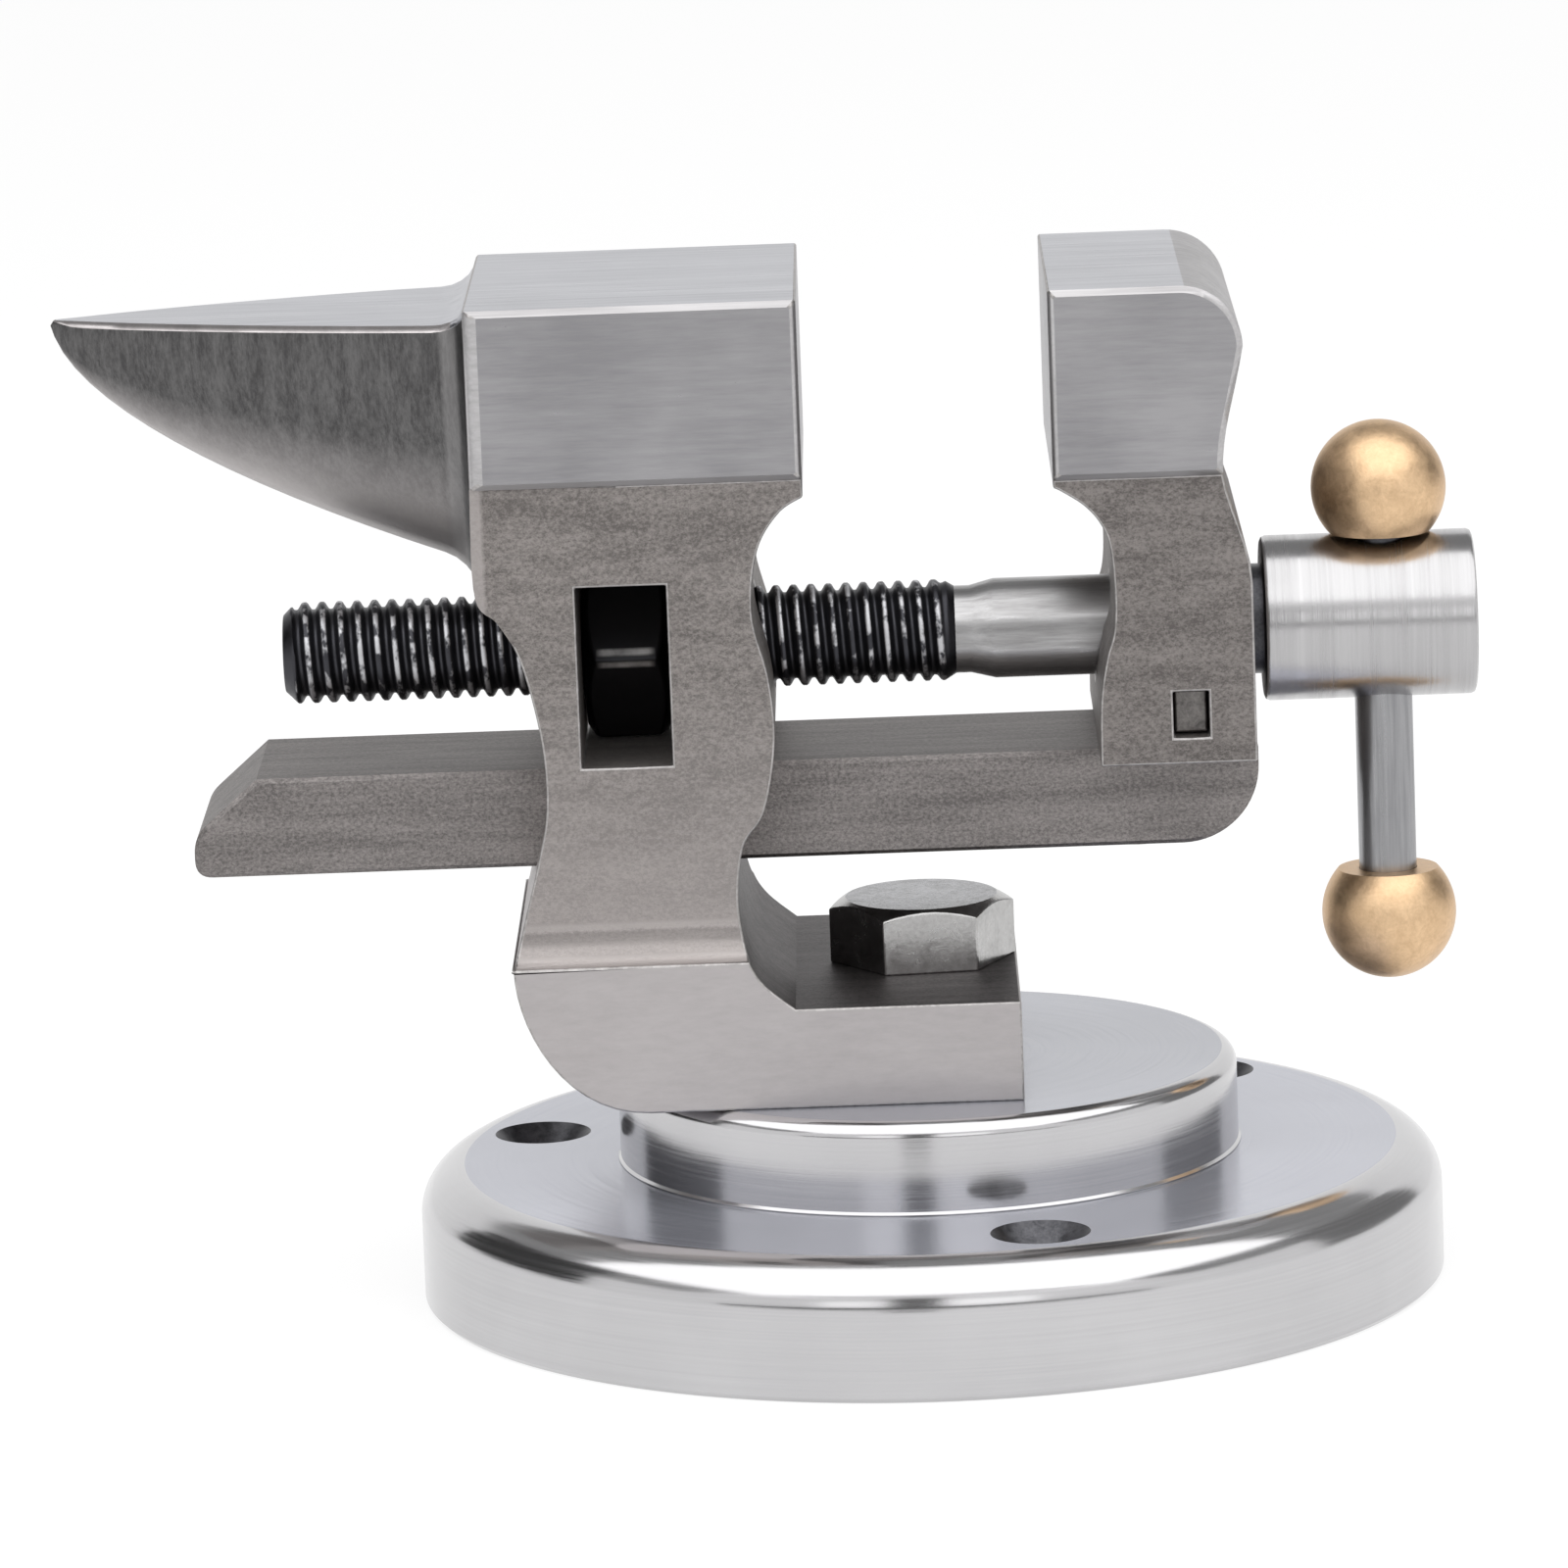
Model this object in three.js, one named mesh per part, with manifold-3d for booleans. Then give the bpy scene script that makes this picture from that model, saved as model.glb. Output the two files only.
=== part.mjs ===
// Mini bench vise with an anvil horn, a round swivelling base and a sliding handle.
// Millimetres, +Z up, +X towards the handle. The origin is the centre of the base's underside.
import * as THREE from 'three';
import { mergeVertices } from 'three/addons/utils/BufferGeometryUtils.js';
import Module from 'manifold-3d';

const wasm = await Module();
wasm.setup();

// Base plate
const BASE_DIAMETER = 59;
const BASE_THICKNESS = 7.8;
const BASE_TOP_ROUNDING = 2.8;
const BASE_EDGE_BREAK = 0.3;
const MOUNTING_HOLE_COUNT = 3;
const MOUNTING_HOLE_INSET = 6.1;
const MOUNTING_HOLE_DIAMETER = 3.2;
const COUNTERSINK_DIAMETER = 5.4;
const FIRST_HOLE_ANGLE = THREE.MathUtils.degToRad(44.6);

// Turntable disc between the base and the vise
const DISC_DIAMETER = 36;
const DISC_THICKNESS = 5.3;
const DISC_TOP_ROUNDING = 0.95;
const DISC_BOTTOM_CHAMFER = 0.5;

// Pivot bolt, a hexagon bolt that clamps foot, disc and base together
const BOLT_DIAMETER = 6;
const BOLT_LENGTH = 16;
const BOLT_HEAD_FLATS = 9.3;
const BOLT_HEAD_HEIGHT = 3.7;
const BOLT_END_CHAMFER = 0.6;
const BOLT_HEAD_ANGLE = THREE.MathUtils.degToRad(5.5);
const BOLT_HOLE_CLEARANCE = 0.3;
const BOLT_TIP_ROOM = 0.9;

// Widths across the vise, along Y
const JAW_WIDTH = 24.2;
const COLUMN_WIDTH = 23.2;
const FOOT_WIDTH = 26;

// Fixed jaw and its block
const FIXED_FACE_X = -5.85;
const JAW_TOP_Z = 58.9;
const GRIP_HEIGHT = 11.15;
const FIXED_BLOCK_LENGTH = 18.6;
const FIXED_BLOCK_HEIGHT = 10.1;
const JAW_EDGE_CHAMFER = 0.35;
const BLOCK_CORNER_ROUNDING = 0.8;

// Waisted column under the fixed jaw
const COLUMN_LENGTH = 13;
const COLUMN_SETBACK = 2.05;

// Foot
const FOOT_THICKNESS = 5.7;
const FOOT_REACH = 5.4;
const FOOT_HEEL_LENGTH = 23.1;
const FOOT_HEEL_ROUNDING = 7.4;
const FOOT_SHOULDER_RISE = 4.8;
const FOOT_SHOULDER_HEIGHT = 2;

// Anvil horn
const HORN_LENGTH = 23.9;
const HORN_ROOT_WIDTH = 17;
const HORN_ROOT_DEPTH = 14.9;
const HORN_DROP = 1.25;
const HORN_ROOT_FILLET = 1.9;
const HORN_SEAT_DEPTH = 2.5;
const HORN_EDGE_BREAK = 0.35;

// Slide bar that carries the moving jaw
const BAR_WIDTH = 12.7;
const BAR_HEIGHT = 5.6;
const BAR_UNDERSIDE_Z = 26.2;
const BAR_LEFT_REACH = 41.2;
const BAR_NOSE_LENGTH = 3.7;
const BAR_NOSE_HEIGHT = 3.2;
const BAR_NOSE_ROUNDING = 1;
const BAR_TAIL_ROUNDING = 4.4;
const BAR_TAIL_OVERHANG = 0.25;
const BAR_EDGE_BREAK = 0.25;
const BAR_CLEARANCE = 0.2;

// Moving jaw
const JAW_OPENING = 14;
const MOVING_BLOCK_LENGTH = 10.8;
const MOVING_BLOCK_HEIGHT = 10.7;
const MOVING_TOP_ROUNDING = 3.5;
const MOVING_WAIST_CUT = 1.3;
const LEG_OVERHANG = 0.2;
const LEG_LENGTH = 8.8;
const LEG_THROAT_CUT = 1.05;

// Lead screw, one turned piece with its cylindrical head
const SCREW_AXIS_RISE = 6.1;
const THREAD_DIAMETER = 5.8;
const SHANK_DIAMETER = 5.7;
const SHANK_REACH = 3.4;
const THREAD_LENGTH = 38.4;
const THREAD_RUNOUT_LENGTH = 2.25;
const THREAD_RUNOUT_DEPTH = 0.35;
const THREAD_END_CHAMFER = 0.7;
const SCREW_NECK_DIAMETER = 6.3;
const SCREW_NECK_LENGTH = 0.9;
const SCREW_HEAD_DIAMETER = 9.45;
const SCREW_HEAD_LENGTH = 12.1;
const SCREW_HEAD_CHAMFER = 0.3;
const SCREW_CLEARANCE = 0.3;

// Retaining key that runs across the leg and into the screw's groove
const KEY_WIDTH = 1.8;
const KEY_HEIGHT = 2.4;
const KEY_RECESS = 0.7;
const KEY_CLEARANCE = 0.12;
const KEY_INSET = 3.65;
const GROOVE_DIAMETER = 3.7;
const GROOVE_CLEARANCE = 0.25;

// Lead nut held in the column's window
const NUT_FLATS = 10;
const NUT_THICKNESS = 4.8;
const NUT_CLEARANCE = 0.15;
const NUT_WINDOW_INSET = 5.8;

// Screws that hold the moving jaw's leg on the slide bar
const BAR_SCREW_COUNT = 2;
const BAR_SCREW_DIAMETER = 2.5;
const BAR_SCREW_HEAD_DIAMETER = 4.7;
const BAR_SCREW_LENGTH = 9;
const BAR_SCREW_SPACING = 7;
const BAR_SCREW_INSET = 2.1;
const BAR_SCREW_RECESS = 0.1;
const BAR_SCREW_CLEARANCE = 0.2;

// Handle
const ROD_DIAMETER = 3.3;
const ROD_OFFSET = 0.8;
const ROD_FREE_LENGTH = 19.6;
const ROD_HOLE_CLEARANCE = 0.2;
const BALL_DIAMETER = 7.7;
const BALL_FLAT_DIAMETER = 5.75;
const ROD_SEAT_DEPTH = 4;
const ROD_SEAT_CLEARANCE = 0.15;
const BALL_LAND = 0.1;

// Column and leg reach this far into the blocks that they join
const JOIN_DEPTH = 0.7;

// Cutting tools run past the faces that they cut by this much
const CUT_OVERRUN = 2;
const WELD_DISTANCE = 1e-4;

// Facets round a full turn of large, middle and small round pieces
const LARGE_ROUND_STEPS = 72;
const MIDDLE_ROUND_STEPS = 40;
const SMALL_ROUND_STEPS = 24;
const CURVE_STEPS = 8;
const SPLINE_STEPS = 6;
const FILLET_STEPS = 5;
const HORN_STEPS = 16;
const BALL_STEPS = 12;
const HEEL_STEPS = 14;

// Shares of the column's outline: along its length from the face side, and up its height, from the
// foot's top to the gripping face on the face side and from the shoulder to the block on the back
const columnFaceShares = [
  [-0.046, 0], [0.088, 0.052], [0.155, 0.109], [0.186, 0.207], [0.155, 0.316],
  [0.06, 0.383], [0.002, 0.518], [0.016, 0.643], [0.079, 0.772], [0.048, 0.896], [-0.05, 0.969],
];
const columnBackShares = [
  [1.27, 0.779], [1.175, 0.719], [1.085, 0.636], [1.01, 0.471], [1, 0.327],
  [1.045, 0.217], [1.11, 0.101], [1.16, 0.007],
];

// Shares of a hexagon: its end chamfers stop at one of its width, and cut deeper than its corners
const chamferCircleShare = 0.94;
const chamferDepthShare = 2;

// Shares of the foot's heel: how far the curve's two handles reach down and back
const heelDropShare = 0.4;
const heelSweepShare = 0.66;

// Shares of the horn's taper: how blunt its plan and its keel are, and how its sections crowd
const hornPlanShares = [1.3, 0.82];
const hornKeelShare = 0.57;
const hornCrowdShare = 1.7;
const hornTipShare = 0.25;
const hornEdgeShare = 0.33;

// Shares of the moving jaw's back from its waist: along the waist's cut, and up the block
const waistShares = [[0, 0.24], [0.55, 0.38]];

// Shares of the leg's outline: along its throat's cut or its waist's, and up its height, which
// ends at the gripping face in the throat and at the block on the back
const legThroatShares = [
  [0.08, 0.226], [0.45, 0.38], [0.9, 0.483], [1, 0.617], [0.83, 0.781],
  [0.38, 0.864], [-0.45, 0.931], [-1.6, 0.983],
];
const legBackShares = [[0, 0.62], [0.02, 0.76], [0.85, 0.88]];

const discTopZ = BASE_THICKNESS + DISC_THICKNESS;
const footTopZ = discTopZ + FOOT_THICKNESS;
const barTopZ = BAR_UNDERSIDE_Z + BAR_HEIGHT;
const screwAxisZ = barTopZ + SCREW_AXIS_RISE;
const fixedBlockBottomZ = JAW_TOP_Z - FIXED_BLOCK_HEIGHT;
const fixedBackX = FIXED_FACE_X - FIXED_BLOCK_LENGTH;
const hornTopZ = JAW_TOP_Z - HORN_DROP;
const hornKeelZ = hornTopZ - HORN_ROOT_DEPTH - HORN_ROOT_FILLET;
const gripLowZ = JAW_TOP_Z - GRIP_HEIGHT;
const movingFaceX = FIXED_FACE_X + JAW_OPENING;
const movingBlockBottomZ = JAW_TOP_Z - MOVING_BLOCK_HEIGHT;
const movingBackX = movingFaceX + MOVING_BLOCK_LENGTH;
const waistX = movingBackX - MOVING_WAIST_CUT;
const legRightX = movingBackX + LEG_OVERHANG;
const legLeftX = legRightX - LEG_LENGTH;
const screwHeadX = legRightX + SCREW_NECK_LENGTH;
const threadEndX = movingFaceX - SHANK_REACH - THREAD_RUNOUT_LENGTH;
const threadStartX = threadEndX - THREAD_LENGTH;
const rodX = screwHeadX + SCREW_HEAD_LENGTH / 2 + ROD_OFFSET;
const boltBoreRadius = BOLT_DIAMETER / 2 + BOLT_HOLE_CLEARANCE;
const keyX = legRightX - KEY_INSET;
const keyTopZ = screwAxisZ - GROOVE_DIAMETER / 2 - GROOVE_CLEARANCE;
const nutX = fixedBackX + NUT_WINDOW_INSET + NUT_THICKNESS / 2;

// Points of a quarter round from one angle to another about a centre
function arcPoints(centreA, centreB, radius, from, to, steps) {
  return Array.from({ length: steps + 1 }, (_, i) => {
    const angle = from + ((to - from) * i) / steps;
    return new THREE.Vector2(centreA + radius * Math.cos(angle), centreB + radius * Math.sin(angle));
  });
}

// Points of the rounding at a round piece's upper rim, in radius and height
function rimPoints(radius, topZ, rounding, steps) {
  return arcPoints(radius - rounding, topZ - rounding, rounding, 0, Math.PI / 2, steps);
}

function point(a, b) {
  return new THREE.Vector2(a, b);
}

// A closed three.js geometry as a solid that can be joined and cut
function solid(geometry) {
  const bare = geometry.clone();
  bare.deleteAttribute('normal');
  bare.deleteAttribute('uv');
  const welded = mergeVertices(bare, WELD_DISTANCE);
  const index = welded.getIndex().array;
  const triangles = [];
  for (let i = 0; i < index.length; i += 3) {
    const [a, b, c] = [index[i], index[i + 1], index[i + 2]];
    if (a !== b && b !== c && c !== a) triangles.push(a, b, c);
  }
  const vertProperties = new Float32Array(welded.getAttribute('position').array);
  const triVerts = new Uint32Array(triangles);
  return new wasm.Manifold(new wasm.Mesh({ numProp: 3, vertProperties, triVerts }));
}

// A revolved solid about a line along Z at X and Y; the profile's points are radius and height
function turned(profile, steps = MIDDLE_ROUND_STEPS, [x, y] = [0, 0]) {
  const geometry = new THREE.LatheGeometry(profile, steps);
  geometry.rotateX(Math.PI / 2);
  geometry.translate(x, y, 0);
  return solid(geometry);
}

// A revolved solid about a line along X at the screw's height; points are radius and X
function turnedAlongX(profile, steps = MIDDLE_ROUND_STEPS) {
  const geometry = new THREE.LatheGeometry(profile, steps);
  geometry.rotateZ(-Math.PI / 2);
  geometry.translate(0, 0, screwAxisZ);
  return solid(geometry);
}

// A profile that starts and ends on the axis between two heights
function closedProfile(points) {
  return [point(0, points[0].y), ...points, point(0, points[points.length - 1].y)];
}

function rod(radius, low, high) {
  return closedProfile([point(radius, low), point(radius, high)]);
}

// A side outline in X and Z, given its thickness along Y, with an optional chamfer all round
function plate(outline, width, chamfer = 0, curveSegments = CURVE_STEPS) {
  const geometry = new THREE.ExtrudeGeometry(outline, {
    depth: width - chamfer * 2,
    curveSegments,
    bevelEnabled: chamfer > 0,
    bevelThickness: chamfer,
    bevelSize: chamfer,
    bevelOffset: -chamfer,
    bevelSegments: 1,
  });
  geometry.rotateX(Math.PI / 2);
  geometry.translate(0, width / 2 - chamfer, 0);
  return solid(geometry);
}

// A plan outline in X and Y, raised between two heights
function slab(outline, low, high) {
  const geometry = new THREE.ExtrudeGeometry(outline, {
    depth: high - low,
    curveSegments: CURVE_STEPS,
    bevelEnabled: false,
  });
  geometry.translate(0, 0, low);
  return solid(geometry);
}

function box(lowX, highX, width, lowZ, highZ) {
  const geometry = new THREE.BoxGeometry(highX - lowX, width, highZ - lowZ);
  geometry.translate((lowX + highX) / 2, 0, (lowZ + highZ) / 2);
  return solid(geometry);
}

function polygon(points) {
  return new THREE.Shape(points);
}

function hexagon(flats, firstCorner) {
  const radius = flats / 2 / Math.cos(Math.PI / 6);
  return polygon(Array.from({ length: 6 }, (_, i) => {
    const angle = firstCorner + (i * Math.PI) / 3;
    return point(radius * Math.cos(angle), radius * Math.sin(angle));
  }));
}

function makeBasePlate() {
  const radius = BASE_DIAMETER / 2;
  const holeFloorZ = footTopZ - BOLT_LENGTH - BOLT_TIP_ROOM;
  const profile = [
    point(0, 0),
    point(radius - BASE_EDGE_BREAK, 0),
    point(radius, BASE_EDGE_BREAK),
    ...rimPoints(radius, BASE_THICKNESS, BASE_TOP_ROUNDING, CURVE_STEPS),
    point(boltBoreRadius, BASE_THICKNESS),
    point(boltBoreRadius, holeFloorZ),
    point(0, holeFloorZ),
  ];
  let plateSolid = turned(profile, LARGE_ROUND_STEPS);
  const bore = MOUNTING_HOLE_DIAMETER / 2;
  const mouth = COUNTERSINK_DIAMETER / 2;
  const tool = closedProfile([
    point(bore, -CUT_OVERRUN),
    point(bore, BASE_THICKNESS - (mouth - bore)),
    point(mouth, BASE_THICKNESS),
    point(mouth, BASE_THICKNESS + CUT_OVERRUN),
  ]);
  const reach = radius - MOUNTING_HOLE_INSET;
  for (let i = 0; i < MOUNTING_HOLE_COUNT; i += 1) {
    const angle = FIRST_HOLE_ANGLE + (i * Math.PI * 2) / MOUNTING_HOLE_COUNT;
    const place = [reach * Math.cos(angle), reach * Math.sin(angle)];
    plateSolid = plateSolid.subtract(turned(tool, SMALL_ROUND_STEPS, place));
  }
  return plateSolid;
}

function makeTurntableDisc() {
  const radius = DISC_DIAMETER / 2;
  return turned([
    point(boltBoreRadius, BASE_THICKNESS),
    point(radius - DISC_BOTTOM_CHAMFER, BASE_THICKNESS),
    point(radius, BASE_THICKNESS + DISC_BOTTOM_CHAMFER),
    ...rimPoints(radius, discTopZ, DISC_TOP_ROUNDING, FILLET_STEPS),
    point(boltBoreRadius, discTopZ),
    point(boltBoreRadius, BASE_THICKNESS),
  ], LARGE_ROUND_STEPS);
}

// Radius of a hexagon's end face inside its chamfer
function chamferCircle(flats) {
  return (flats / 2) * chamferCircleShare;
}

// Height lost at a hexagon's corners by a 30 degree chamfer
function cornerDrop(flats) {
  return (flats / 2 / Math.cos(Math.PI / 6) - chamferCircle(flats)) * Math.tan(Math.PI / 6);
}

function makePivotBolt() {
  const headTopZ = footTopZ + BOLT_HEAD_HEIGHT;
  const drop = cornerDrop(BOLT_HEAD_FLATS) * chamferDepthShare;
  const circle = chamferCircle(BOLT_HEAD_FLATS);
  const reach = circle + drop / Math.tan(Math.PI / 6);
  const chamferTool = turned(closedProfile([
    point(reach, footTopZ - CUT_OVERRUN),
    point(reach, headTopZ - drop),
    point(circle, headTopZ),
  ]));
  const block = slab(hexagon(BOLT_HEAD_FLATS, BOLT_HEAD_ANGLE), footTopZ, headTopZ);
  const head = block.intersect(chamferTool);
  const tipZ = footTopZ - BOLT_LENGTH;
  const shank = turned(closedProfile([
    point(BOLT_DIAMETER / 2 - BOLT_END_CHAMFER, tipZ),
    point(BOLT_DIAMETER / 2, tipZ + BOLT_END_CHAMFER),
    point(BOLT_DIAMETER / 2, footTopZ + BOLT_HEAD_HEIGHT / 2),
  ]), SMALL_ROUND_STEPS);
  return head.add(shank);
}

// The column's places for shares of its length behind its face and of a height between two levels
function columnPoints(shares, lowZ, topZ) {
  return shares.map(([lengthShare, heightShare]) => point(
    FIXED_FACE_X - COLUMN_SETBACK - lengthShare * COLUMN_LENGTH,
    lowZ + heightShare * (topZ - lowZ),
  ));
}

// Side outline of foot and column, up into the fixed jaw's block
function bodyOutline() {
  const heelX = -FOOT_HEEL_LENGTH;
  const insideX = FIXED_FACE_X - JOIN_DEPTH;
  const insideZ = fixedBlockBottomZ + JOIN_DEPTH;
  const shoulderZ = footTopZ + FOOT_SHOULDER_RISE - FOOT_SHOULDER_HEIGHT;
  const face = columnPoints(columnFaceShares, footTopZ, gripLowZ);
  const back = columnPoints(columnBackShares, shoulderZ, fixedBlockBottomZ);
  const outline = new THREE.Shape();
  outline.moveTo(heelX + FOOT_HEEL_ROUNDING, discTopZ);
  outline.lineTo(FOOT_REACH, discTopZ);
  outline.lineTo(FOOT_REACH, footTopZ);
  outline.lineTo(face[0].x, footTopZ);
  outline.splineThru([...face.slice(1), point(FIXED_FACE_X, gripLowZ)]);
  outline.lineTo(FIXED_FACE_X, fixedBlockBottomZ);
  outline.lineTo(insideX, fixedBlockBottomZ);
  outline.lineTo(insideX, insideZ);
  outline.lineTo(fixedBackX + JOIN_DEPTH, insideZ);
  outline.lineTo(fixedBackX, fixedBlockBottomZ);
  outline.splineThru([...back, point(heelX, shoulderZ)]);
  const heel = new THREE.CubicBezierCurve(
    point(heelX, shoulderZ),
    point(heelX, shoulderZ - (shoulderZ - discTopZ) * heelDropShare),
    point(heelX + FOOT_HEEL_ROUNDING * (1 - heelSweepShare), discTopZ),
    point(heelX + FOOT_HEEL_ROUNDING, discTopZ),
  );
  heel.getPoints(HEEL_STEPS).slice(1).forEach(({ x, y }) => outline.lineTo(x, y));
  outline.closePath();
  return outline;
}

// Front outline of foot and column: the column's sides flare out to the foot in a hollow curve
function makeColumnAndFoot() {
  const shoulderZ = footTopZ + FOOT_SHOULDER_RISE;
  const [foot, column] = [FOOT_WIDTH / 2, COLUMN_WIDTH / 2];
  const flare = Array.from({ length: SPLINE_STEPS + 1 }, (_, i) => {
    const angle = (Math.PI / 2) * (i / SPLINE_STEPS);
    return [
      foot - (foot - column) * Math.sin(angle),
      shoulderZ - FOOT_SHOULDER_HEIGHT * Math.cos(angle),
    ];
  });
  const rightSide = [[foot, discTopZ - CUT_OVERRUN], ...flare, [column, JAW_TOP_Z]];
  const front = polygon([
    ...rightSide.map(([y, z]) => point(y, z)),
    ...rightSide.reverse().map(([y, z]) => point(-y, z)),
  ]);
  const length = FOOT_HEEL_LENGTH + FOOT_REACH + CUT_OVERRUN * 2;
  const geometry = new THREE.ExtrudeGeometry(front, { depth: length, bevelEnabled: false });
  geometry.rotateX(Math.PI / 2);
  geometry.rotateZ(Math.PI / 2);
  geometry.translate(-FOOT_HEEL_LENGTH - CUT_OVERRUN, 0, 0);
  const side = plate(bodyOutline(), FOOT_WIDTH + CUT_OVERRUN, 0, SPLINE_STEPS);
  return side.intersect(solid(geometry));
}

// One cross-section of the horn: a flat top with broken edges over a half ellipse
function hornSection(x, halfWidth, topZ, keelZ) {
  const edge = Math.min(HORN_EDGE_BREAK, halfWidth * hornEdgeShare);
  const rimZ = Math.max(topZ - edge, (topZ + keelZ) / 2);
  const points = [[x, -(halfWidth - edge), topZ], [x, halfWidth - edge, topZ]];
  for (let i = 0; i <= HORN_STEPS; i += 1) {
    const angle = (Math.PI * i) / HORN_STEPS;
    points.push([x, halfWidth * Math.cos(angle), rimZ - (rimZ - keelZ) * Math.sin(angle)]);
  }
  return points;
}

// Distances from the horn's root to its sections: close together in the fillet and at the tip
function hornStations() {
  const inFillet = Array.from({ length: FILLET_STEPS }, (_, i) => (
    HORN_ROOT_FILLET * (1 - Math.cos((i * Math.PI) / FILLET_STEPS / 2))
  ));
  const free = HORN_LENGTH - HORN_ROOT_FILLET;
  const beyond = Array.from({ length: HORN_STEPS }, (_, i) => (
    HORN_ROOT_FILLET + free * (1 - (1 - i / HORN_STEPS) ** hornCrowdShare)
  ));
  return [...inFillet, ...beyond];
}

// How far the root fillet swells the horn, from one at the block to nothing at its end
function filletSwell(distance) {
  const lean = Math.max(0, 1 - distance / HORN_ROOT_FILLET);
  return 1 - Math.sqrt(1 - lean ** 2);
}

function makeHorn() {
  const halfWidth = HORN_ROOT_WIDTH / 2;
  const [blunt, taper] = hornPlanShares;
  const sections = hornStations().map((distance) => {
    const along = distance / HORN_LENGTH;
    const swell = filletSwell(distance);
    return hornSection(
      fixedBackX - distance,
      halfWidth * (1 - along ** blunt) ** taper + swell * HORN_ROOT_FILLET,
      hornTopZ + swell * HORN_DROP,
      hornTopZ - HORN_ROOT_DEPTH * (1 - along) ** hornKeelShare - swell * HORN_ROOT_FILLET,
    );
  });
  const inside = hornSection(fixedBackX + HORN_SEAT_DEPTH, halfWidth, hornTopZ, hornKeelZ);
  const tip = [fixedBackX - HORN_LENGTH, 0, hornTopZ - HORN_DROP * hornTipShare];
  return solid(loft([inside, ...sections], tip));
}

// Rings of points joined into a closed skin, capped flat at the first and drawn to a tip
function loft(sections, tip) {
  const count = sections[0].length;
  const positions = [...sections.flat(2), ...tip];
  const tipIndex = sections.length * count;
  const index = [];
  for (let i = 0; i < count; i += 1) {
    const next = (i + 1) % count;
    for (let s = 0; s + 1 < sections.length; s += 1) {
      const [a, b] = [s * count + i, s * count + next];
      index.push(a, b, a + count, b, b + count, a + count);
    }
    const last = (sections.length - 1) * count;
    index.push(last + i, last + next, tipIndex);
    if (i > 0 && next > 0) index.push(0, next, i);
  }
  const geometry = new THREE.BufferGeometry();
  geometry.setAttribute('position', new THREE.Float32BufferAttribute(positions, 3));
  geometry.setIndex(index);
  return geometry;
}

function fixedBlockOutline() {
  return polygon([
    point(FIXED_FACE_X, fixedBlockBottomZ),
    point(FIXED_FACE_X, JAW_TOP_Z),
    point(fixedBackX, JAW_TOP_Z),
    point(fixedBackX, fixedBlockBottomZ),
  ]);
}

// The plan of the fixed jaw block, with its two corners beside the horn rounded
function blockPlan() {
  const half = JAW_WIDTH / 2;
  const r = BLOCK_CORNER_ROUNDING;
  return polygon([
    point(FOOT_REACH, -half),
    point(FOOT_REACH, half),
    ...arcPoints(fixedBackX + r, half - r, r, Math.PI / 2, Math.PI, FILLET_STEPS),
    ...arcPoints(fixedBackX + r, r - half, r, Math.PI, Math.PI * 1.5, FILLET_STEPS),
  ]);
}

// The passages for bar and screw are cut as far as these reach with the jaws closed
function makeViseBody() {
  const block = plate(fixedBlockOutline(), JAW_WIDTH, JAW_EDGE_CHAMFER);
  const plan = slab(blockPlan(), discTopZ - CUT_OVERRUN, JAW_TOP_Z + CUT_OVERRUN);
  const upper = block.intersect(plan).add(makeColumnAndFoot());
  const window = box(
    nutX - NUT_THICKNESS / 2 - NUT_CLEARANCE,
    nutX + NUT_THICKNESS / 2 + NUT_CLEARANCE,
    FOOT_WIDTH + CUT_OVERRUN,
    screwAxisZ - NUT_FLATS / 2 - NUT_CLEARANCE,
    screwAxisZ + NUT_FLATS / 2 + NUT_CLEARANCE,
  );
  const passage = box(
    -BAR_LEFT_REACH - JAW_OPENING,
    FIXED_FACE_X + CUT_OVERRUN,
    BAR_WIDTH + BAR_CLEARANCE * 2,
    BAR_UNDERSIDE_Z - BAR_CLEARANCE,
    barTopZ + BAR_CLEARANCE,
  );
  const screwBore = turnedAlongX(
    rod(THREAD_DIAMETER / 2 + SCREW_CLEARANCE, threadStartX - JAW_OPENING, FIXED_FACE_X + CUT_OVERRUN),
    SMALL_ROUND_STEPS,
  );
  const boltHole = turned(rod(boltBoreRadius, discTopZ - CUT_OVERRUN, footTopZ + CUT_OVERRUN));
  return upper.add(makeHorn())
    .subtract(window).subtract(passage).subtract(screwBore).subtract(boltHole);
}

function makeLeadNut() {
  const half = NUT_THICKNESS / 2;
  const drop = cornerDrop(NUT_FLATS) * chamferDepthShare;
  const circle = chamferCircle(NUT_FLATS);
  const reach = circle + drop / Math.tan(Math.PI / 6);
  const geometry = new THREE.ExtrudeGeometry(hexagon(NUT_FLATS, Math.PI / 6), {
    depth: NUT_THICKNESS,
    bevelEnabled: false,
  });
  geometry.rotateY(Math.PI / 2);
  geometry.translate(nutX - half, 0, screwAxisZ);
  const chamferTool = turnedAlongX(closedProfile([
    point(circle, nutX - half),
    point(reach, nutX - half + drop),
    point(reach, nutX + half - drop),
    point(circle, nutX + half),
  ]));
  const bore = turnedAlongX(
    rod(THREAD_DIAMETER / 2 + SCREW_CLEARANCE, nutX - half - CUT_OVERRUN, nutX + half + CUT_OVERRUN),
    SMALL_ROUND_STEPS,
  );
  return solid(geometry).intersect(chamferTool).subtract(bore);
}

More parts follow.
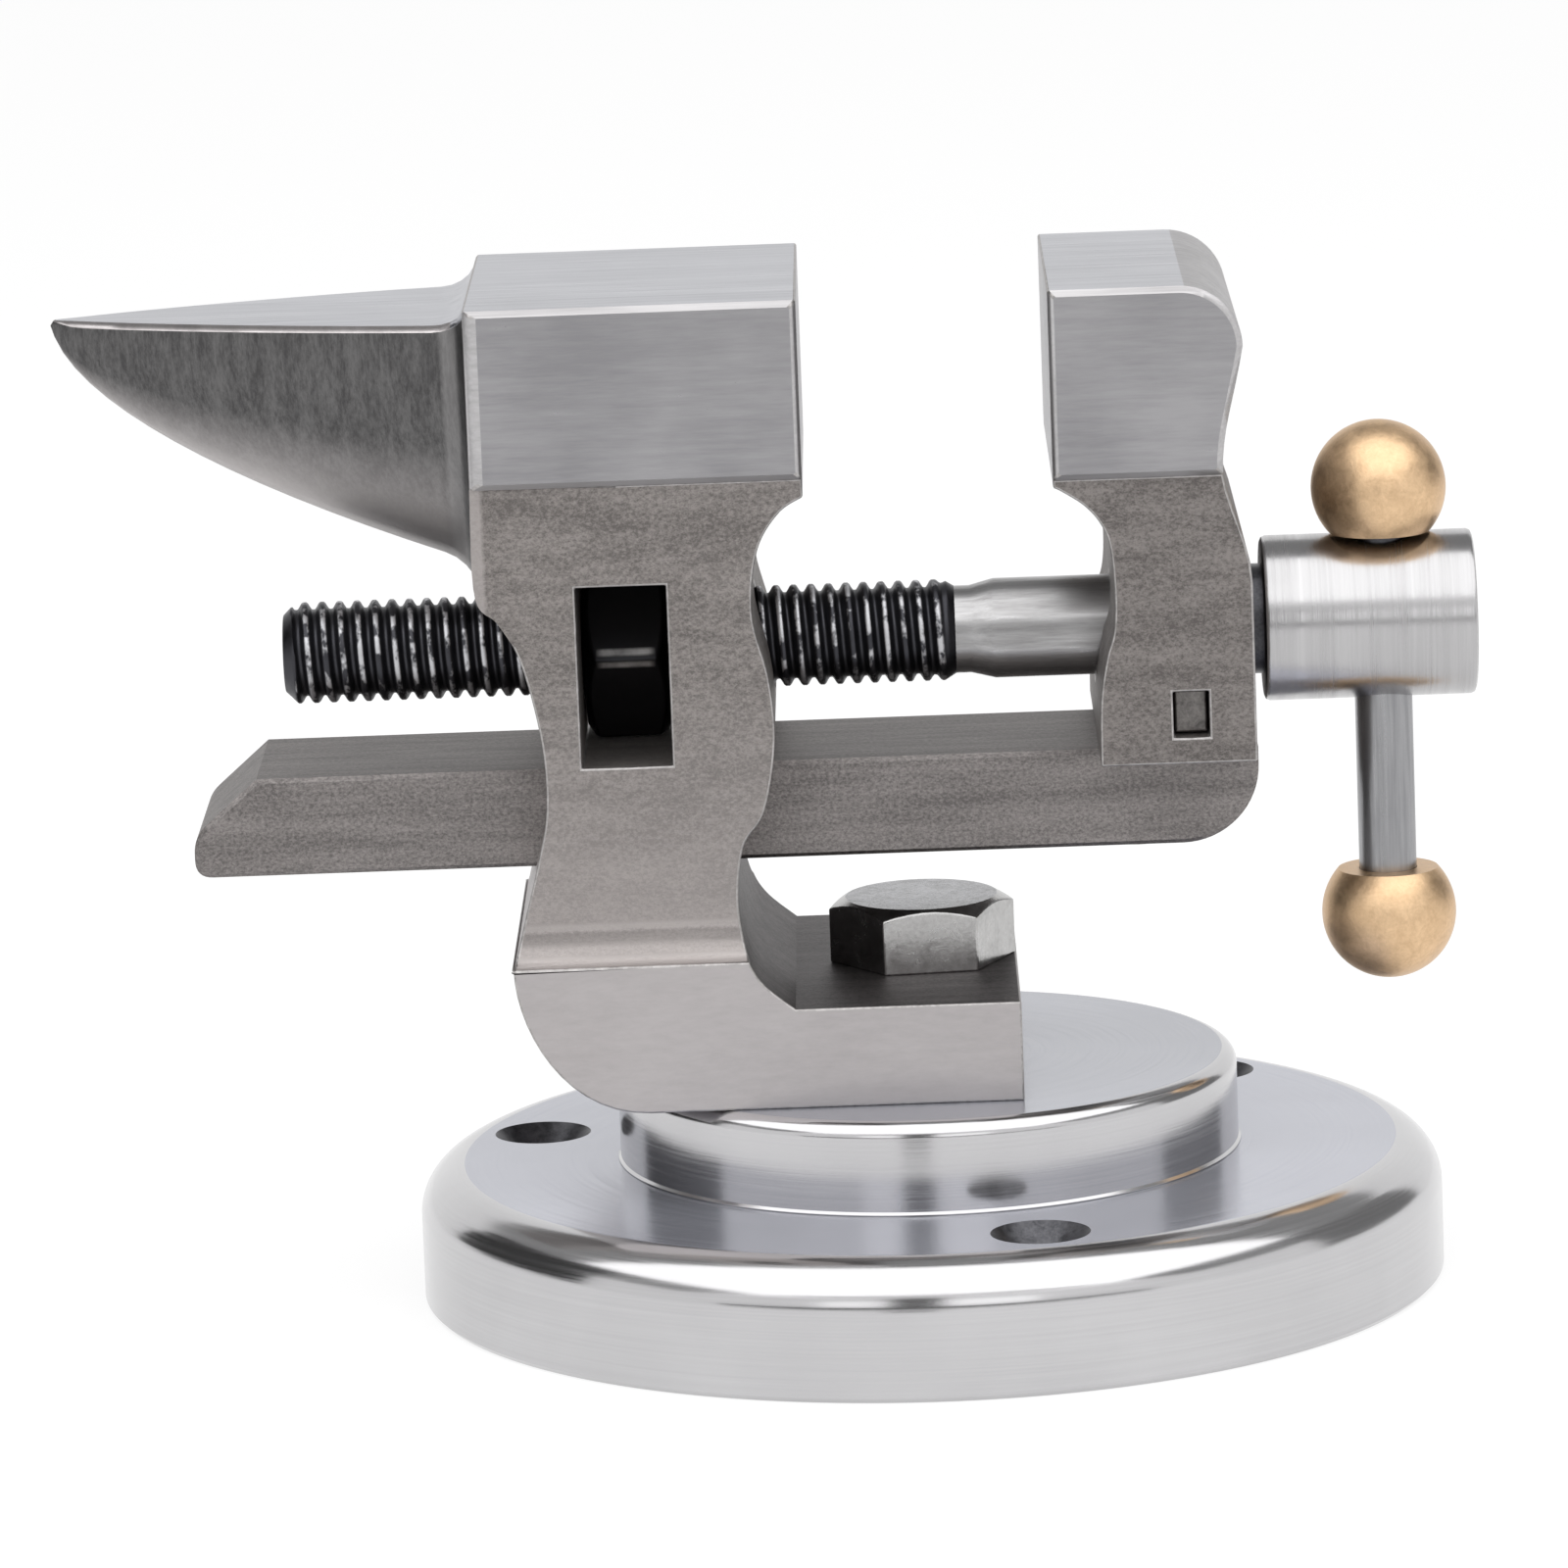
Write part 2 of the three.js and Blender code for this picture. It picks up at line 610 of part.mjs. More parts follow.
// Side outline of the bar: a sloping cut and rounded corners at its nose, a round at its tail
function barOutline() {
  const left = -BAR_LEFT_REACH;
  const right = legRightX + BAR_TAIL_OVERHANG;
  const tail = BAR_TAIL_ROUNDING;
  const nose = BAR_NOSE_ROUNDING;
  const cornerZ = barTopZ - BAR_NOSE_HEIGHT;
  const slant = nose / Math.hypot(BAR_NOSE_LENGTH, BAR_NOSE_HEIGHT);
  const outline = new THREE.Shape();
  outline.moveTo(left + nose, BAR_UNDERSIDE_Z);
  outline.lineTo(right - tail, BAR_UNDERSIDE_Z);
  outline.absarc(right - tail, BAR_UNDERSIDE_Z + tail, tail, -Math.PI / 2, 0, false);
  outline.lineTo(right, barTopZ);
  outline.lineTo(left + BAR_NOSE_LENGTH, barTopZ);
  outline.lineTo(left + BAR_NOSE_LENGTH * slant, cornerZ + BAR_NOSE_HEIGHT * slant);
  outline.quadraticCurveTo(left, cornerZ, left, cornerZ - nose);
  outline.lineTo(left, BAR_UNDERSIDE_Z + nose);
  outline.quadraticCurveTo(left, BAR_UNDERSIDE_Z, left + nose, BAR_UNDERSIDE_Z);
  return outline;
}

// Places of the screws under the moving jaw's leg, in X and Y
function barScrewPlaces() {
  const x = legLeftX + BAR_SCREW_INSET;
  return Array.from({ length: BAR_SCREW_COUNT }, (_, i) => (
    [x, (i - (BAR_SCREW_COUNT - 1) / 2) * BAR_SCREW_SPACING]
  ));
}

// A countersunk screw standing on its head, larger all over by the given clearance
function barScrew(place, clearance, headLow) {
  const shank = BAR_SCREW_DIAMETER / 2 + clearance;
  const head = BAR_SCREW_HEAD_DIAMETER / 2 + clearance;
  const faceZ = BAR_UNDERSIDE_Z + BAR_SCREW_RECESS;
  return turned(closedProfile([
    point(head, headLow),
    point(head, faceZ + clearance),
    point(shank, faceZ + clearance + head - shank),
    point(shank, faceZ + BAR_SCREW_LENGTH + clearance),
  ]), SMALL_ROUND_STEPS, place);
}

function cutBarScrewHoles(piece) {
  const low = BAR_UNDERSIDE_Z - CUT_OVERRUN;
  const tools = barScrewPlaces().map((place) => barScrew(place, BAR_SCREW_CLEARANCE, low));
  return tools.reduce((rest, tool) => rest.subtract(tool), piece);
}

function makeSlideBar() {
  return cutBarScrewHoles(plate(barOutline(), BAR_WIDTH, BAR_EDGE_BREAK));
}

function makeBarScrews() {
  return barScrewPlaces().map((place) => barScrew(place, 0, BAR_UNDERSIDE_Z + BAR_SCREW_RECESS / 2));
}

// The moving block's place for a share of the waist's cut and of the block's height
function blockPoint([cutShare, heightShare]) {
  const x = waistX + cutShare * MOVING_WAIST_CUT;
  return point(x, movingBlockBottomZ + heightShare * MOVING_BLOCK_HEIGHT);
}

function movingBlockOutline() {
  const round = MOVING_TOP_ROUNDING;
  const [low, high] = waistShares.map(blockPoint);
  const outline = new THREE.Shape();
  outline.moveTo(movingFaceX, movingBlockBottomZ);
  outline.lineTo(waistX, movingBlockBottomZ);
  outline.bezierCurveTo(low.x, low.y, high.x, high.y, movingBackX, JAW_TOP_Z - round);
  outline.absarc(movingBackX - round, JAW_TOP_Z - round, round, 0, Math.PI / 2, false);
  outline.lineTo(movingFaceX, JAW_TOP_Z);
  outline.closePath();
  return outline;
}

// Side outline of the leg, from the slide bar up into the moving jaw's block
function legOutline() {
  const inside = JOIN_DEPTH;
  const back = legBackShares.map(([cut, up]) => (
    point(legRightX - cut * (legRightX - waistX), barTopZ + up * (movingBlockBottomZ - barTopZ))
  ));
  const throat = legThroatShares.map(([cut, up]) => (
    point(legLeftX + cut * LEG_THROAT_CUT, barTopZ + up * (gripLowZ - barTopZ))
  ));
  const outline = new THREE.Shape();
  outline.moveTo(legLeftX, barTopZ);
  outline.lineTo(legRightX, barTopZ);
  outline.lineTo(back[0].x, back[0].y);
  outline.bezierCurveTo(back[1].x, back[1].y, back[2].x, back[2].y, waistX, movingBlockBottomZ);
  outline.lineTo(waistX - inside, movingBlockBottomZ);
  outline.lineTo(waistX - inside, movingBlockBottomZ + inside);
  outline.lineTo(movingFaceX + inside, movingBlockBottomZ + inside);
  outline.lineTo(movingFaceX + inside, movingBlockBottomZ);
  outline.lineTo(movingFaceX, movingBlockBottomZ);
  outline.lineTo(movingFaceX, gripLowZ);
  outline.splineThru([...throat.reverse(), point(legLeftX, barTopZ)]);
  outline.closePath();
  return outline;
}

function makeMovingJaw() {
  const leg = plate(legOutline(), COLUMN_WIDTH, 0, SPLINE_STEPS);
  const jaw = plate(movingBlockOutline(), JAW_WIDTH, JAW_EDGE_CHAMFER).add(leg);
  const bore = turnedAlongX(
    rod(THREAD_DIAMETER / 2 + SCREW_CLEARANCE, movingFaceX - CUT_OVERRUN, legRightX + CUT_OVERRUN),
    SMALL_ROUND_STEPS,
  );
  const keySlot = box(
    keyX - KEY_WIDTH / 2 - KEY_CLEARANCE,
    keyX + KEY_WIDTH / 2 + KEY_CLEARANCE,
    COLUMN_WIDTH + CUT_OVERRUN,
    keyTopZ - KEY_HEIGHT - KEY_CLEARANCE,
    keyTopZ + KEY_CLEARANCE,
  );
  return cutBarScrewHoles(jaw.subtract(bore).subtract(keySlot));
}

function makeRetainingKey() {
  return box(
    keyX - KEY_WIDTH / 2,
    keyX + KEY_WIDTH / 2,
    COLUMN_WIDTH - KEY_RECESS * 2,
    keyTopZ - KEY_HEIGHT,
    keyTopZ,
  );
}

function makeLeadScrew() {
  const thread = THREAD_DIAMETER / 2;
  const shank = SHANK_DIAMETER / 2;
  const neck = SCREW_NECK_DIAMETER / 2;
  const head = SCREW_HEAD_DIAMETER / 2;
  const groove = GROOVE_DIAMETER / 2;
  const grooveHalf = KEY_WIDTH / 2 + GROOVE_CLEARANCE;
  const headEndX = screwHeadX + SCREW_HEAD_LENGTH;
  const profile = closedProfile([
    point(thread - THREAD_END_CHAMFER, threadStartX),
    point(thread, threadStartX + THREAD_END_CHAMFER),
    point(thread, threadEndX),
    point(thread - THREAD_RUNOUT_DEPTH, threadEndX + THREAD_RUNOUT_DEPTH),
    point(thread - THREAD_RUNOUT_DEPTH, threadEndX + THREAD_RUNOUT_LENGTH - THREAD_RUNOUT_DEPTH),
    point(shank, threadEndX + THREAD_RUNOUT_LENGTH),
    point(shank, keyX - grooveHalf),
    point(groove, keyX - grooveHalf),
    point(groove, keyX + grooveHalf),
    point(shank, keyX + grooveHalf),
    point(shank, legRightX),
    point(neck, legRightX),
    point(neck, screwHeadX),
    point(head - SCREW_HEAD_CHAMFER, screwHeadX),
    point(head, screwHeadX + SCREW_HEAD_CHAMFER),
    point(head, headEndX - SCREW_HEAD_CHAMFER),
    point(head - SCREW_HEAD_CHAMFER, headEndX),
  ]);
  const low = screwAxisZ - head - CUT_OVERRUN;
  const high = screwAxisZ + head + CUT_OVERRUN;
  const hole = rod(ROD_DIAMETER / 2 + ROD_HOLE_CLEARANCE, low, high);
  return turnedAlongX(profile).subtract(turned(hole, SMALL_ROUND_STEPS, [rodX, 0]));
}

// Distance from a ball's centre to the flat where the rod enters it
function ballFlatOffset() {
  return Math.sqrt((BALL_DIAMETER / 2) ** 2 - (BALL_FLAT_DIAMETER / 2) ** 2);
}

// A ball end with a flat and a blind hole for the rod, its flat at the given height
function makeBall(flatZ, direction) {
  const radius = BALL_DIAMETER / 2;
  const offset = ballFlatOffset();
  const hole = ROD_DIAMETER / 2 + ROD_SEAT_CLEARANCE;
  const start = -Math.asin(offset / radius);
  const profile = [
    point(0, ROD_SEAT_DEPTH),
    point(hole, ROD_SEAT_DEPTH),
    point(hole, 0),
    ...arcPoints(0, offset, radius, start, Math.PI / 2, BALL_STEPS).slice(0, BALL_STEPS),
    point(0, offset + radius),
  ];
  const ball = new THREE.LatheGeometry(profile, SMALL_ROUND_STEPS);
  ball.rotateX(direction * Math.PI / 2);
  ball.translate(rodX, 0, flatZ);
  return solid(ball);
}

function upperFlatZ() {
  return screwAxisZ + SCREW_HEAD_DIAMETER / 2 + BALL_LAND;
}

function lowerFlatZ() {
  return upperFlatZ() - ROD_FREE_LENGTH;
}

function makeHandleRod() {
  const seat = ROD_SEAT_DEPTH - ROD_SEAT_CLEARANCE;
  const profile = rod(ROD_DIAMETER / 2, lowerFlatZ() - seat, upperFlatZ() + seat);
  return turned(profile, SMALL_ROUND_STEPS, [rodX, 0]);
}

// Finishes: colour, roughness and metalness
const finishes = {
  polishedSteel: [0xd6d8da, 0.16, 1],
  groundSteel: [0xa9a8a9, 0.38, 1],
  blastedSteel: [0x8e8983, 0.55, 1],
  turnedSteel: [0xc4c3c6, 0.28, 1],
  darkSteel: [0x4a4a50, 0.35, 1],
  brass: [0xc79a4b, 0.32, 1],
};

// A named mesh from a solid and a finish
function mesh(name, piece, [color, roughness, metalness]) {
  const { vertProperties, triVerts } = piece.getMesh();
  const geometry = new THREE.BufferGeometry();
  geometry.setAttribute('position', new THREE.BufferAttribute(new Float32Array(vertProperties), 3));
  geometry.setIndex(new THREE.BufferAttribute(new Uint32Array(triVerts), 1));
  geometry.computeVertexNormals();
  const material = new THREE.MeshStandardMaterial({ color, roughness, metalness, flatShading: true });
  const result = new THREE.Mesh(geometry, material);
  result.name = name;
  return result;
}

// The pieces that travel with each other share a group
function group(...meshes) {
  const set = new THREE.Group();
  set.add(...meshes);
  return set;
}

const base = group(
  mesh('base_plate', makeBasePlate(), finishes.polishedSteel),
  mesh('pivot_bolt', makePivotBolt(), finishes.polishedSteel),
);
const swivel = group(
  mesh('turntable_disc', makeTurntableDisc(), finishes.polishedSteel),
  mesh('vise_body', makeViseBody(), finishes.groundSteel),
  mesh('lead_nut', makeLeadNut(), finishes.darkSteel),
);
const slide = group(
  mesh('slide_bar', makeSlideBar(), finishes.blastedSteel),
  mesh('moving_jaw', makeMovingJaw(), finishes.groundSteel),
  ...makeBarScrews().map((screw, i) => mesh(`bar_screw_${i + 1}`, screw, finishes.darkSteel)),
  mesh('screw_retaining_key', makeRetainingKey(), finishes.blastedSteel),
);
const spindle = group(mesh('lead_screw', makeLeadScrew(), finishes.turnedSteel));
const handle = group(
  mesh('handle_rod', makeHandleRod(), finishes.turnedSteel),
  mesh('handle_ball_upper', makeBall(upperFlatZ(), 1), finishes.brass),
  mesh('handle_ball_lower', makeBall(lowerFlatZ(), -1), finishes.brass),
);

const vise = new THREE.Group();
vise.add(base, swivel, slide, spindle, handle);

export default vise;
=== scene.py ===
# %% [markdown]
# # A mini bench vise with an anvil horn
# This lesson dresses a small steel vise. The solid model comes in as a frame with the right sizes
# and joints, but plain facets. We keep its places and give each piece its real surface: ground
# jaws, a grained column, a turned and polished base, a cut thread and brass balls.

import math

import bmesh
import bpy
import numpy as np
from mathutils import Matrix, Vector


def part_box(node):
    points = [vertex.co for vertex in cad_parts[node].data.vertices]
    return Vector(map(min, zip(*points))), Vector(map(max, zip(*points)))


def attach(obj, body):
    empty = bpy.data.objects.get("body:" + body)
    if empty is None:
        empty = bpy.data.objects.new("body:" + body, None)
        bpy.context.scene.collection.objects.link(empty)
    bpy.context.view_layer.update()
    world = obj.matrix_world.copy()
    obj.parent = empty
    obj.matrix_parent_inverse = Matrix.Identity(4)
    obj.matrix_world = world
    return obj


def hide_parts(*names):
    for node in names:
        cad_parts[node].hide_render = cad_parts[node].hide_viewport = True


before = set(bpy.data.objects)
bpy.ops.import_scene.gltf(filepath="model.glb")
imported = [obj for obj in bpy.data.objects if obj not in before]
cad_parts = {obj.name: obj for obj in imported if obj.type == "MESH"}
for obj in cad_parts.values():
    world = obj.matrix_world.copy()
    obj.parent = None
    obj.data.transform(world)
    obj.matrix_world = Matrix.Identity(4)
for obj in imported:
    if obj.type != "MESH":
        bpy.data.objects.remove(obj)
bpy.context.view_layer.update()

# %% [markdown]
# ## Sizes that the pieces share
# Blender works in metres and a vise maker in millimetres, so one factor turns one into the other.
# The places of the pieces could be typed in, but read from the frame they follow the solid model.

# %% Read the places of the pieces
MM = 0.001


def place(node):
    """A piece's lowest and highest corner in millimetres, as two arrays."""
    low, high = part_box(node)
    return np.array(low) / MM, np.array(high) / MM


def middle_of(node):
    """The middle of a piece's box: half the sum of its two corners."""
    return (sum(place(node)) / 2).tolist()


base_low, base_high = place("base_plate")
disc_low, disc_high = place("turntable_disc")
screw_low, screw_high = place("lead_screw")
rod_low, rod_high = place("handle_rod")
jaw_back = place("moving_jaw")[1][0]
SCREW_AXIS_Z = middle_of("lead_screw")[2]
ROD_X = middle_of("handle_rod")[0]
print("screw axis height:", round(SCREW_AXIS_Z, 2), "rod at x:", round(ROD_X, 2))

# %% [markdown]
# ## From numpy arrays to a mesh
# Most pieces could be modelled by hand in edit mode. Here a surface is a grid of points instead,
# worked out at once, which keeps every size exact and easy to change. The helper turns the grid
# into four-sided faces, joins points that fall on each other, and turns all faces outwards.

# %% Make a mesh from a grid of points
JOIN_WITHIN = 1e-7
SLIVER = 1e-8
SMOOTH_BELOW = 32


def closed_mesh(name, points, faces):
    """A mesh from points in millimetres and faces, with doubled points joined and faces outwards."""
    mesh = bpy.data.meshes.new(name)
    mesh.from_pydata((np.asarray(points).reshape(-1, 3) * MM).tolist(), [], faces)
    shell = bmesh.new()
    shell.from_mesh(mesh)
    bmesh.ops.remove_doubles(shell, verts=shell.verts, dist=JOIN_WITHIN)
    bmesh.ops.dissolve_degenerate(shell, dist=SLIVER, edges=shell.edges)
    open_edges = [edge for edge in shell.edges if edge.is_boundary]
    if open_edges:
        bmesh.ops.holes_fill(shell, edges=open_edges)
    bmesh.ops.recalc_face_normals(shell, faces=shell.faces)
    shell.to_mesh(mesh)
    shell.free()
    return mesh


def grid_faces(rows, columns, closed_rows=False):
    """Faces between the neighbours in a grid: point i, j is number i times columns plus j.

    The columns run once round, so the last one's neighbour is the first.
    """
    row = np.arange(rows if closed_rows else rows - 1)[:, None]
    column = np.arange(columns)[None, :]
    below = (row % rows) * columns
    above = ((row + 1) % rows) * columns
    right = (column + 1) % columns
    corners = np.stack([below + column, below + right, above + right, above + column], axis=-1)
    return corners.reshape(-1, 4).tolist()


def add_object(name, data):
    """A new object made from a mesh, a lamp or a camera, linked into the scene."""
    thing = bpy.data.objects.new(name, data)
    bpy.context.scene.collection.objects.link(thing)
    return thing


def show(mesh, smooth_below=SMOOTH_BELOW):
    """Puts a mesh in the scene, smooth over edges that turn by less than the given degrees."""
    mesh.polygons.foreach_set("use_smooth", np.ones(len(mesh.polygons), dtype=bool))
    mesh.set_sharp_from_angle(angle=math.radians(smooth_below))
    return add_object(mesh.name, mesh)


def shade_evenly(piece):
    """Lets large faces rule the shading, so that a flat part isn't bent by its round edge."""
    weighted = piece.modifiers.new("even shading", "WEIGHTED_NORMAL")
    weighted.keep_sharp = True


def stands_for(piece, body, node):
    """The piece moves with its body and stands in its node's place, which is hidden."""
    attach(piece, body)
    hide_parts(node)
    print(f"{piece.name}: {len(piece.data.polygons)} faces, stands for {node}")
    return piece


# %% [markdown]
# ## Lathe work
# Base, disc, balls and rod are turned: a profile is carried once round an axis. Blender's Screw
# modifier does this too, but as an array the profile can be measured. A real lathe leaves every
# edge slightly broken, and that narrow edge is what catches the light.

# %% Turn a profile round an axis
FINE_STEPS = 192


def arc(centre, radius, start, end, steps):
    """Points on a circle in the profile's plane, from one angle to another, in degrees.

    Each is the centre plus the radius times the angle's cosine and sine.
    """
    angle = np.radians(np.linspace(start, end, steps + 1))
    return np.stack([centre[0] + radius * np.cos(angle), centre[1] + radius * np.sin(angle)], axis=1)


def turned(name, profile, steps=FINE_STEPS, centre=(0, 0), along="z"):
    """A profile of radius and height carried round an axis.

    Each point is the centre plus the radius times cosine and sine of the angle, at its height. The
    axis runs along z at the centre's x and y, or along x at the centre's y and z.
    """
    radius, height = np.array(profile, float).T
    angle = np.linspace(0, 2 * np.pi, steps, endpoint=False)
    across = centre[0] + radius[:, None] * np.cos(angle)
    up = centre[1] + radius[:, None] * np.sin(angle)
    along_axis = np.repeat(height[:, None], steps, axis=1)
    order = [across, up, along_axis] if along == "z" else [along_axis, across, up]
    closed = radius[0] > 0
    return closed_mesh(name, np.stack(order, axis=-1), grid_faces(len(radius), steps, closed))


# %% [markdown]
# ## Cutting holes
# A drilled hole could be left as a live boolean modifier. It is cut with one and then baked into
# the mesh, so that the cutter can go.

# %% Cut with a turned tool
HOLE_STEPS = 48


def cut(piece, tools):
    """Takes each tool's volume away from the piece and keeps the result as the piece's mesh."""
    for tool_mesh in tools:
        tool = add_object("tool", tool_mesh)
        modifier = piece.modifiers.new("cut", "BOOLEAN")
        modifier.operation = "DIFFERENCE"
        modifier.solver = "EXACT"
        modifier.object = tool
        graph = bpy.context.evaluated_depsgraph_get()
        result = bpy.data.meshes.new_from_object(piece.evaluated_get(graph))
        piece.modifiers.clear()
        piece.data = result
        bpy.data.objects.remove(tool)
    piece.data.set_sharp_from_angle(angle=math.radians(SMOOTH_BELOW))
    shade_evenly(piece)


# %% [markdown]
# ## The base plate
# The base is a thick turned disc with a rounded upper rim and three countersunk screw holes. A
# bevel modifier could round the rim. It is drawn in the profile instead, with many steps, because
# polished steel shows every facet.

# %% Turn the base plate and drill it
BASE_RADIUS = (base_high[0] - base_low[0]) / 2
BASE_ROUND = 2.8
BASE_EDGE_BREAK = 0.3
BORE_RADIUS = 3.3
BORE_FLOOR = 1.9
HOLE_CIRCLE_RADIUS = 23.4
HOLE_RADIUS = 1.6
COUNTERSINK_RADIUS = 2.7
COUNTERSINK_DEPTH = 1.2
SINK_EDGE = 0.1
FIRST_HOLE_ANGLE = 44.6
OVERRUN = 1

base_top = base_high[2]
base_profile = np.vstack([
    [(0, 0), (BASE_RADIUS - BASE_EDGE_BREAK, 0), (BASE_RADIUS, BASE_EDGE_BREAK)],
    arc((BASE_RADIUS - BASE_ROUND, base_top - BASE_ROUND), BASE_ROUND, 0, 90, 20),
    [(BORE_RADIUS, base_top), (BORE_RADIUS, BORE_FLOOR), (0, BORE_FLOOR)],
])
base_plate = show(turned("turned_base_plate", base_profile))
sink_rim = COUNTERSINK_RADIUS + SINK_EDGE
hole_profile = [
    (0, -OVERRUN), (HOLE_RADIUS, -OVERRUN), (HOLE_RADIUS, base_top - COUNTERSINK_DEPTH),
    (COUNTERSINK_RADIUS, base_top - SINK_EDGE), (sink_rim, base_top), (sink_rim, base_top + OVERRUN),
    (0, base_top + OVERRUN),
]
hole_angles = np.radians(FIRST_HOLE_ANGLE + np.array([0, 120, 240]))
hole_places = HOLE_CIRCLE_RADIUS * np.stack([np.cos(hole_angles), np.sin(hole_angles)], axis=1)
cut(base_plate, [turned("hole", hole_profile, HOLE_STEPS, spot) for spot in hole_places])
stands_for(base_plate, "base", "base_plate")

# %% [markdown]
# ## The turntable disc
# The disc turns on the base with the vise. It is a ring round the bolt, with a rounded upper edge
# and a narrow lip below that shows as a bright line. The lip could be painted, but only a real step
# catches the light from every side. A hair's breadth of air under the disc lets it turn freely.

# %% Turn the disc
DISC_RADIUS = (disc_high[0] - disc_low[0]) / 2
DISC_ROUND = 0.95
DISC_LIP = 0.14
RUNNING_GAP = 0.02

disc_side = DISC_RADIUS - DISC_LIP
underside = disc_low[2] + RUNNING_GAP
disc_profile = np.vstack([
    [(BORE_RADIUS, underside), (DISC_RADIUS, underside), (DISC_RADIUS, disc_low[2] + DISC_LIP / 2)],
    [(disc_side, disc_low[2] + DISC_LIP * 1.5)],
    arc((disc_side - DISC_ROUND, disc_high[2] - DISC_ROUND), DISC_ROUND, 0, 90, 12),
    [(BORE_RADIUS, disc_high[2])],
])
disc = show(turned("turned_disc", disc_profile))
shade_evenly(disc)
stands_for(disc, "swivel", "turntable_disc")

# %% [markdown]
# ## The brass balls and the rod
# Each ball is turned with a flat where the rod enters it. A stock sphere has neither flat nor hole.
# Seen from the side it is an arc, so its profile runs from the flat to the far pole. The rod is a
# plain bar with an extra ring of points, as its short end under the upper ball is painted dark as
# painted shade.

# %% Turn the balls and the rod
BALL_RADIUS = 3.85
BALL_FLAT_RADIUS = 2.875
ROD_RADIUS = (rod_high[0] - rod_low[0]) / 2
SEAT_DEPTH = 4.0
SEAT_GAP = 0.03
ROD_PAINTED_SHADE_LENGTH = 1.2

ball_offset = math.sqrt(BALL_RADIUS**2 - BALL_FLAT_RADIUS**2)
flat_angle = -math.degrees(math.asin(ball_offset / BALL_RADIUS))
for end in ("upper", "lower"):
    ball_low, ball_high = place(f"handle_ball_{end}")
    flat_z, direction = (ball_low[2], 1) if end == "upper" else (ball_high[2], -1)
    ball_arc = arc((0, ball_offset), BALL_RADIUS, flat_angle, 90, 40)
    ball_arc[-1, 0] = 0
    seat = [(0, SEAT_DEPTH), (ROD_RADIUS + SEAT_GAP, SEAT_DEPTH), (ROD_RADIUS + SEAT_GAP, 0)]
    ball_profile = np.vstack([seat, ball_arc])
    ball_profile[:, 1] = flat_z + direction * ball_profile[:, 1]
    ball = show(turned(f"brass_ball_{end}", ball_profile, 96, (ROD_X, 0)))
    stands_for(ball, "handle", f"handle_ball_{end}")

rod_painted_shade_z = place("handle_ball_upper")[0][2] - ROD_PAINTED_SHADE_LENGTH
rod_heights = [rod_low[2], rod_painted_shade_z, rod_high[2]]
rod_profile = [(0, rod_low[2]), *((ROD_RADIUS, z) for z in rod_heights), (0, rod_high[2])]
handle_rod = show(turned("turned_rod", rod_profile, 64, (ROD_X, 0)))
stands_for(handle_rod, "handle", "handle_rod")

# %% [markdown]
# ## The lead screw
# The thread is the finest shape on the vise. As a texture its outline would be straight. A thread
# is a radius that depends on the place along the axis less the angle's share of a pitch. If the
# grid's rows lean by one pitch for each turn, every crest follows a row and stays sharp.

# %% Cut the thread
PITCH = 1.0
THREAD_RADIUS = 2.9
THREAD_DEPTH = 0.43
THREAD_LENGTH = 38.4
CREST_SHARE = 0.2
FLANK_SHARE = 0.7
FADE_TURNS = 1.5
START_CONE = 0.7
UNDERCUT_RADIUS = 2.5
END_CONE_SLOPE = 0.6
STEPS_ROUND = 48
ROWS_PER_PITCH = 10

thread_start = screw_low[0]
thread_end = thread_start + THREAD_LENGTH


def thread_section(phase):
    """The thread's depth as a share, for a place in one pitch: a V with a flat crest and root."""
    away_from_crest = np.abs((phase % 1) - 0.5) * 2
    flank = np.clip((1 - away_from_crest - CREST_SHARE) / FLANK_SHARE, 0, 1)
    return flank * flank * (3 - 2 * flank)


def threaded_rod():
    """A rod whose radius is the crest's less the depth of the section at each place.

    Row i and column j stand at x = start + i / rows - 1 + j / columns pitches, held between the
    two ends. The depth fades out over the last turn and a half, and a cone chamfers the first.
    """
    rows = int((THREAD_LENGTH / PITCH + 2) * ROWS_PER_PITCH) + 1
    turn = np.arange(STEPS_ROUND) / STEPS_ROUND
    lean = np.arange(rows)[:, None] / ROWS_PER_PITCH
    x = np.clip(thread_start + PITCH * (lean - 1 + turn), thread_start, thread_end)
    fade = np.clip((thread_end - x) / (FADE_TURNS * PITCH), 0, 1)
    radius = THREAD_RADIUS - THREAD_DEPTH * fade * thread_section(lean)
    cone = THREAD_RADIUS - START_CONE + (x - thread_start)
    end_cone = UNDERCUT_RADIUS + (thread_end - x) * END_CONE_SLOPE
    radius = np.minimum(radius, np.minimum(cone, end_cone))
    at_end = (x <= thread_start) | (x >= thread_end)
    radius = np.where(at_end, np.minimum(cone, UNDERCUT_RADIUS), radius)
    angle = 2 * np.pi * turn
    points = np.stack([x, radius * np.cos(angle), SCREW_AXIS_Z + radius * np.sin(angle)], axis=-1)
    faces = np.array(grid_faces(rows, STEPS_ROUND))
    inner = faces[faces[:, 1] == faces[:, 0] + 1]
    seam_row = np.arange(rows - ROWS_PER_PITCH - 1)
    last = seam_row * STEPS_ROUND + STEPS_ROUND - 1
    first = (seam_row + ROWS_PER_PITCH) * STEPS_ROUND
    seam = np.stack([last, first, first + STEPS_ROUND, last + STEPS_ROUND], axis=-1)
    return closed_mesh("lead_screw_thread", points, inner.tolist() + seam.tolist())


thread = show(threaded_rod(), smooth_below=80)
stands_for(thread, "screw", "lead_screw")

# %% [markdown]
# Behind the thread come a short undercut, the plain shank, the neck and the cylindrical head. On a
# lathe they are cut in one go, so they share one profile. The rod's hole is drilled afterwards.

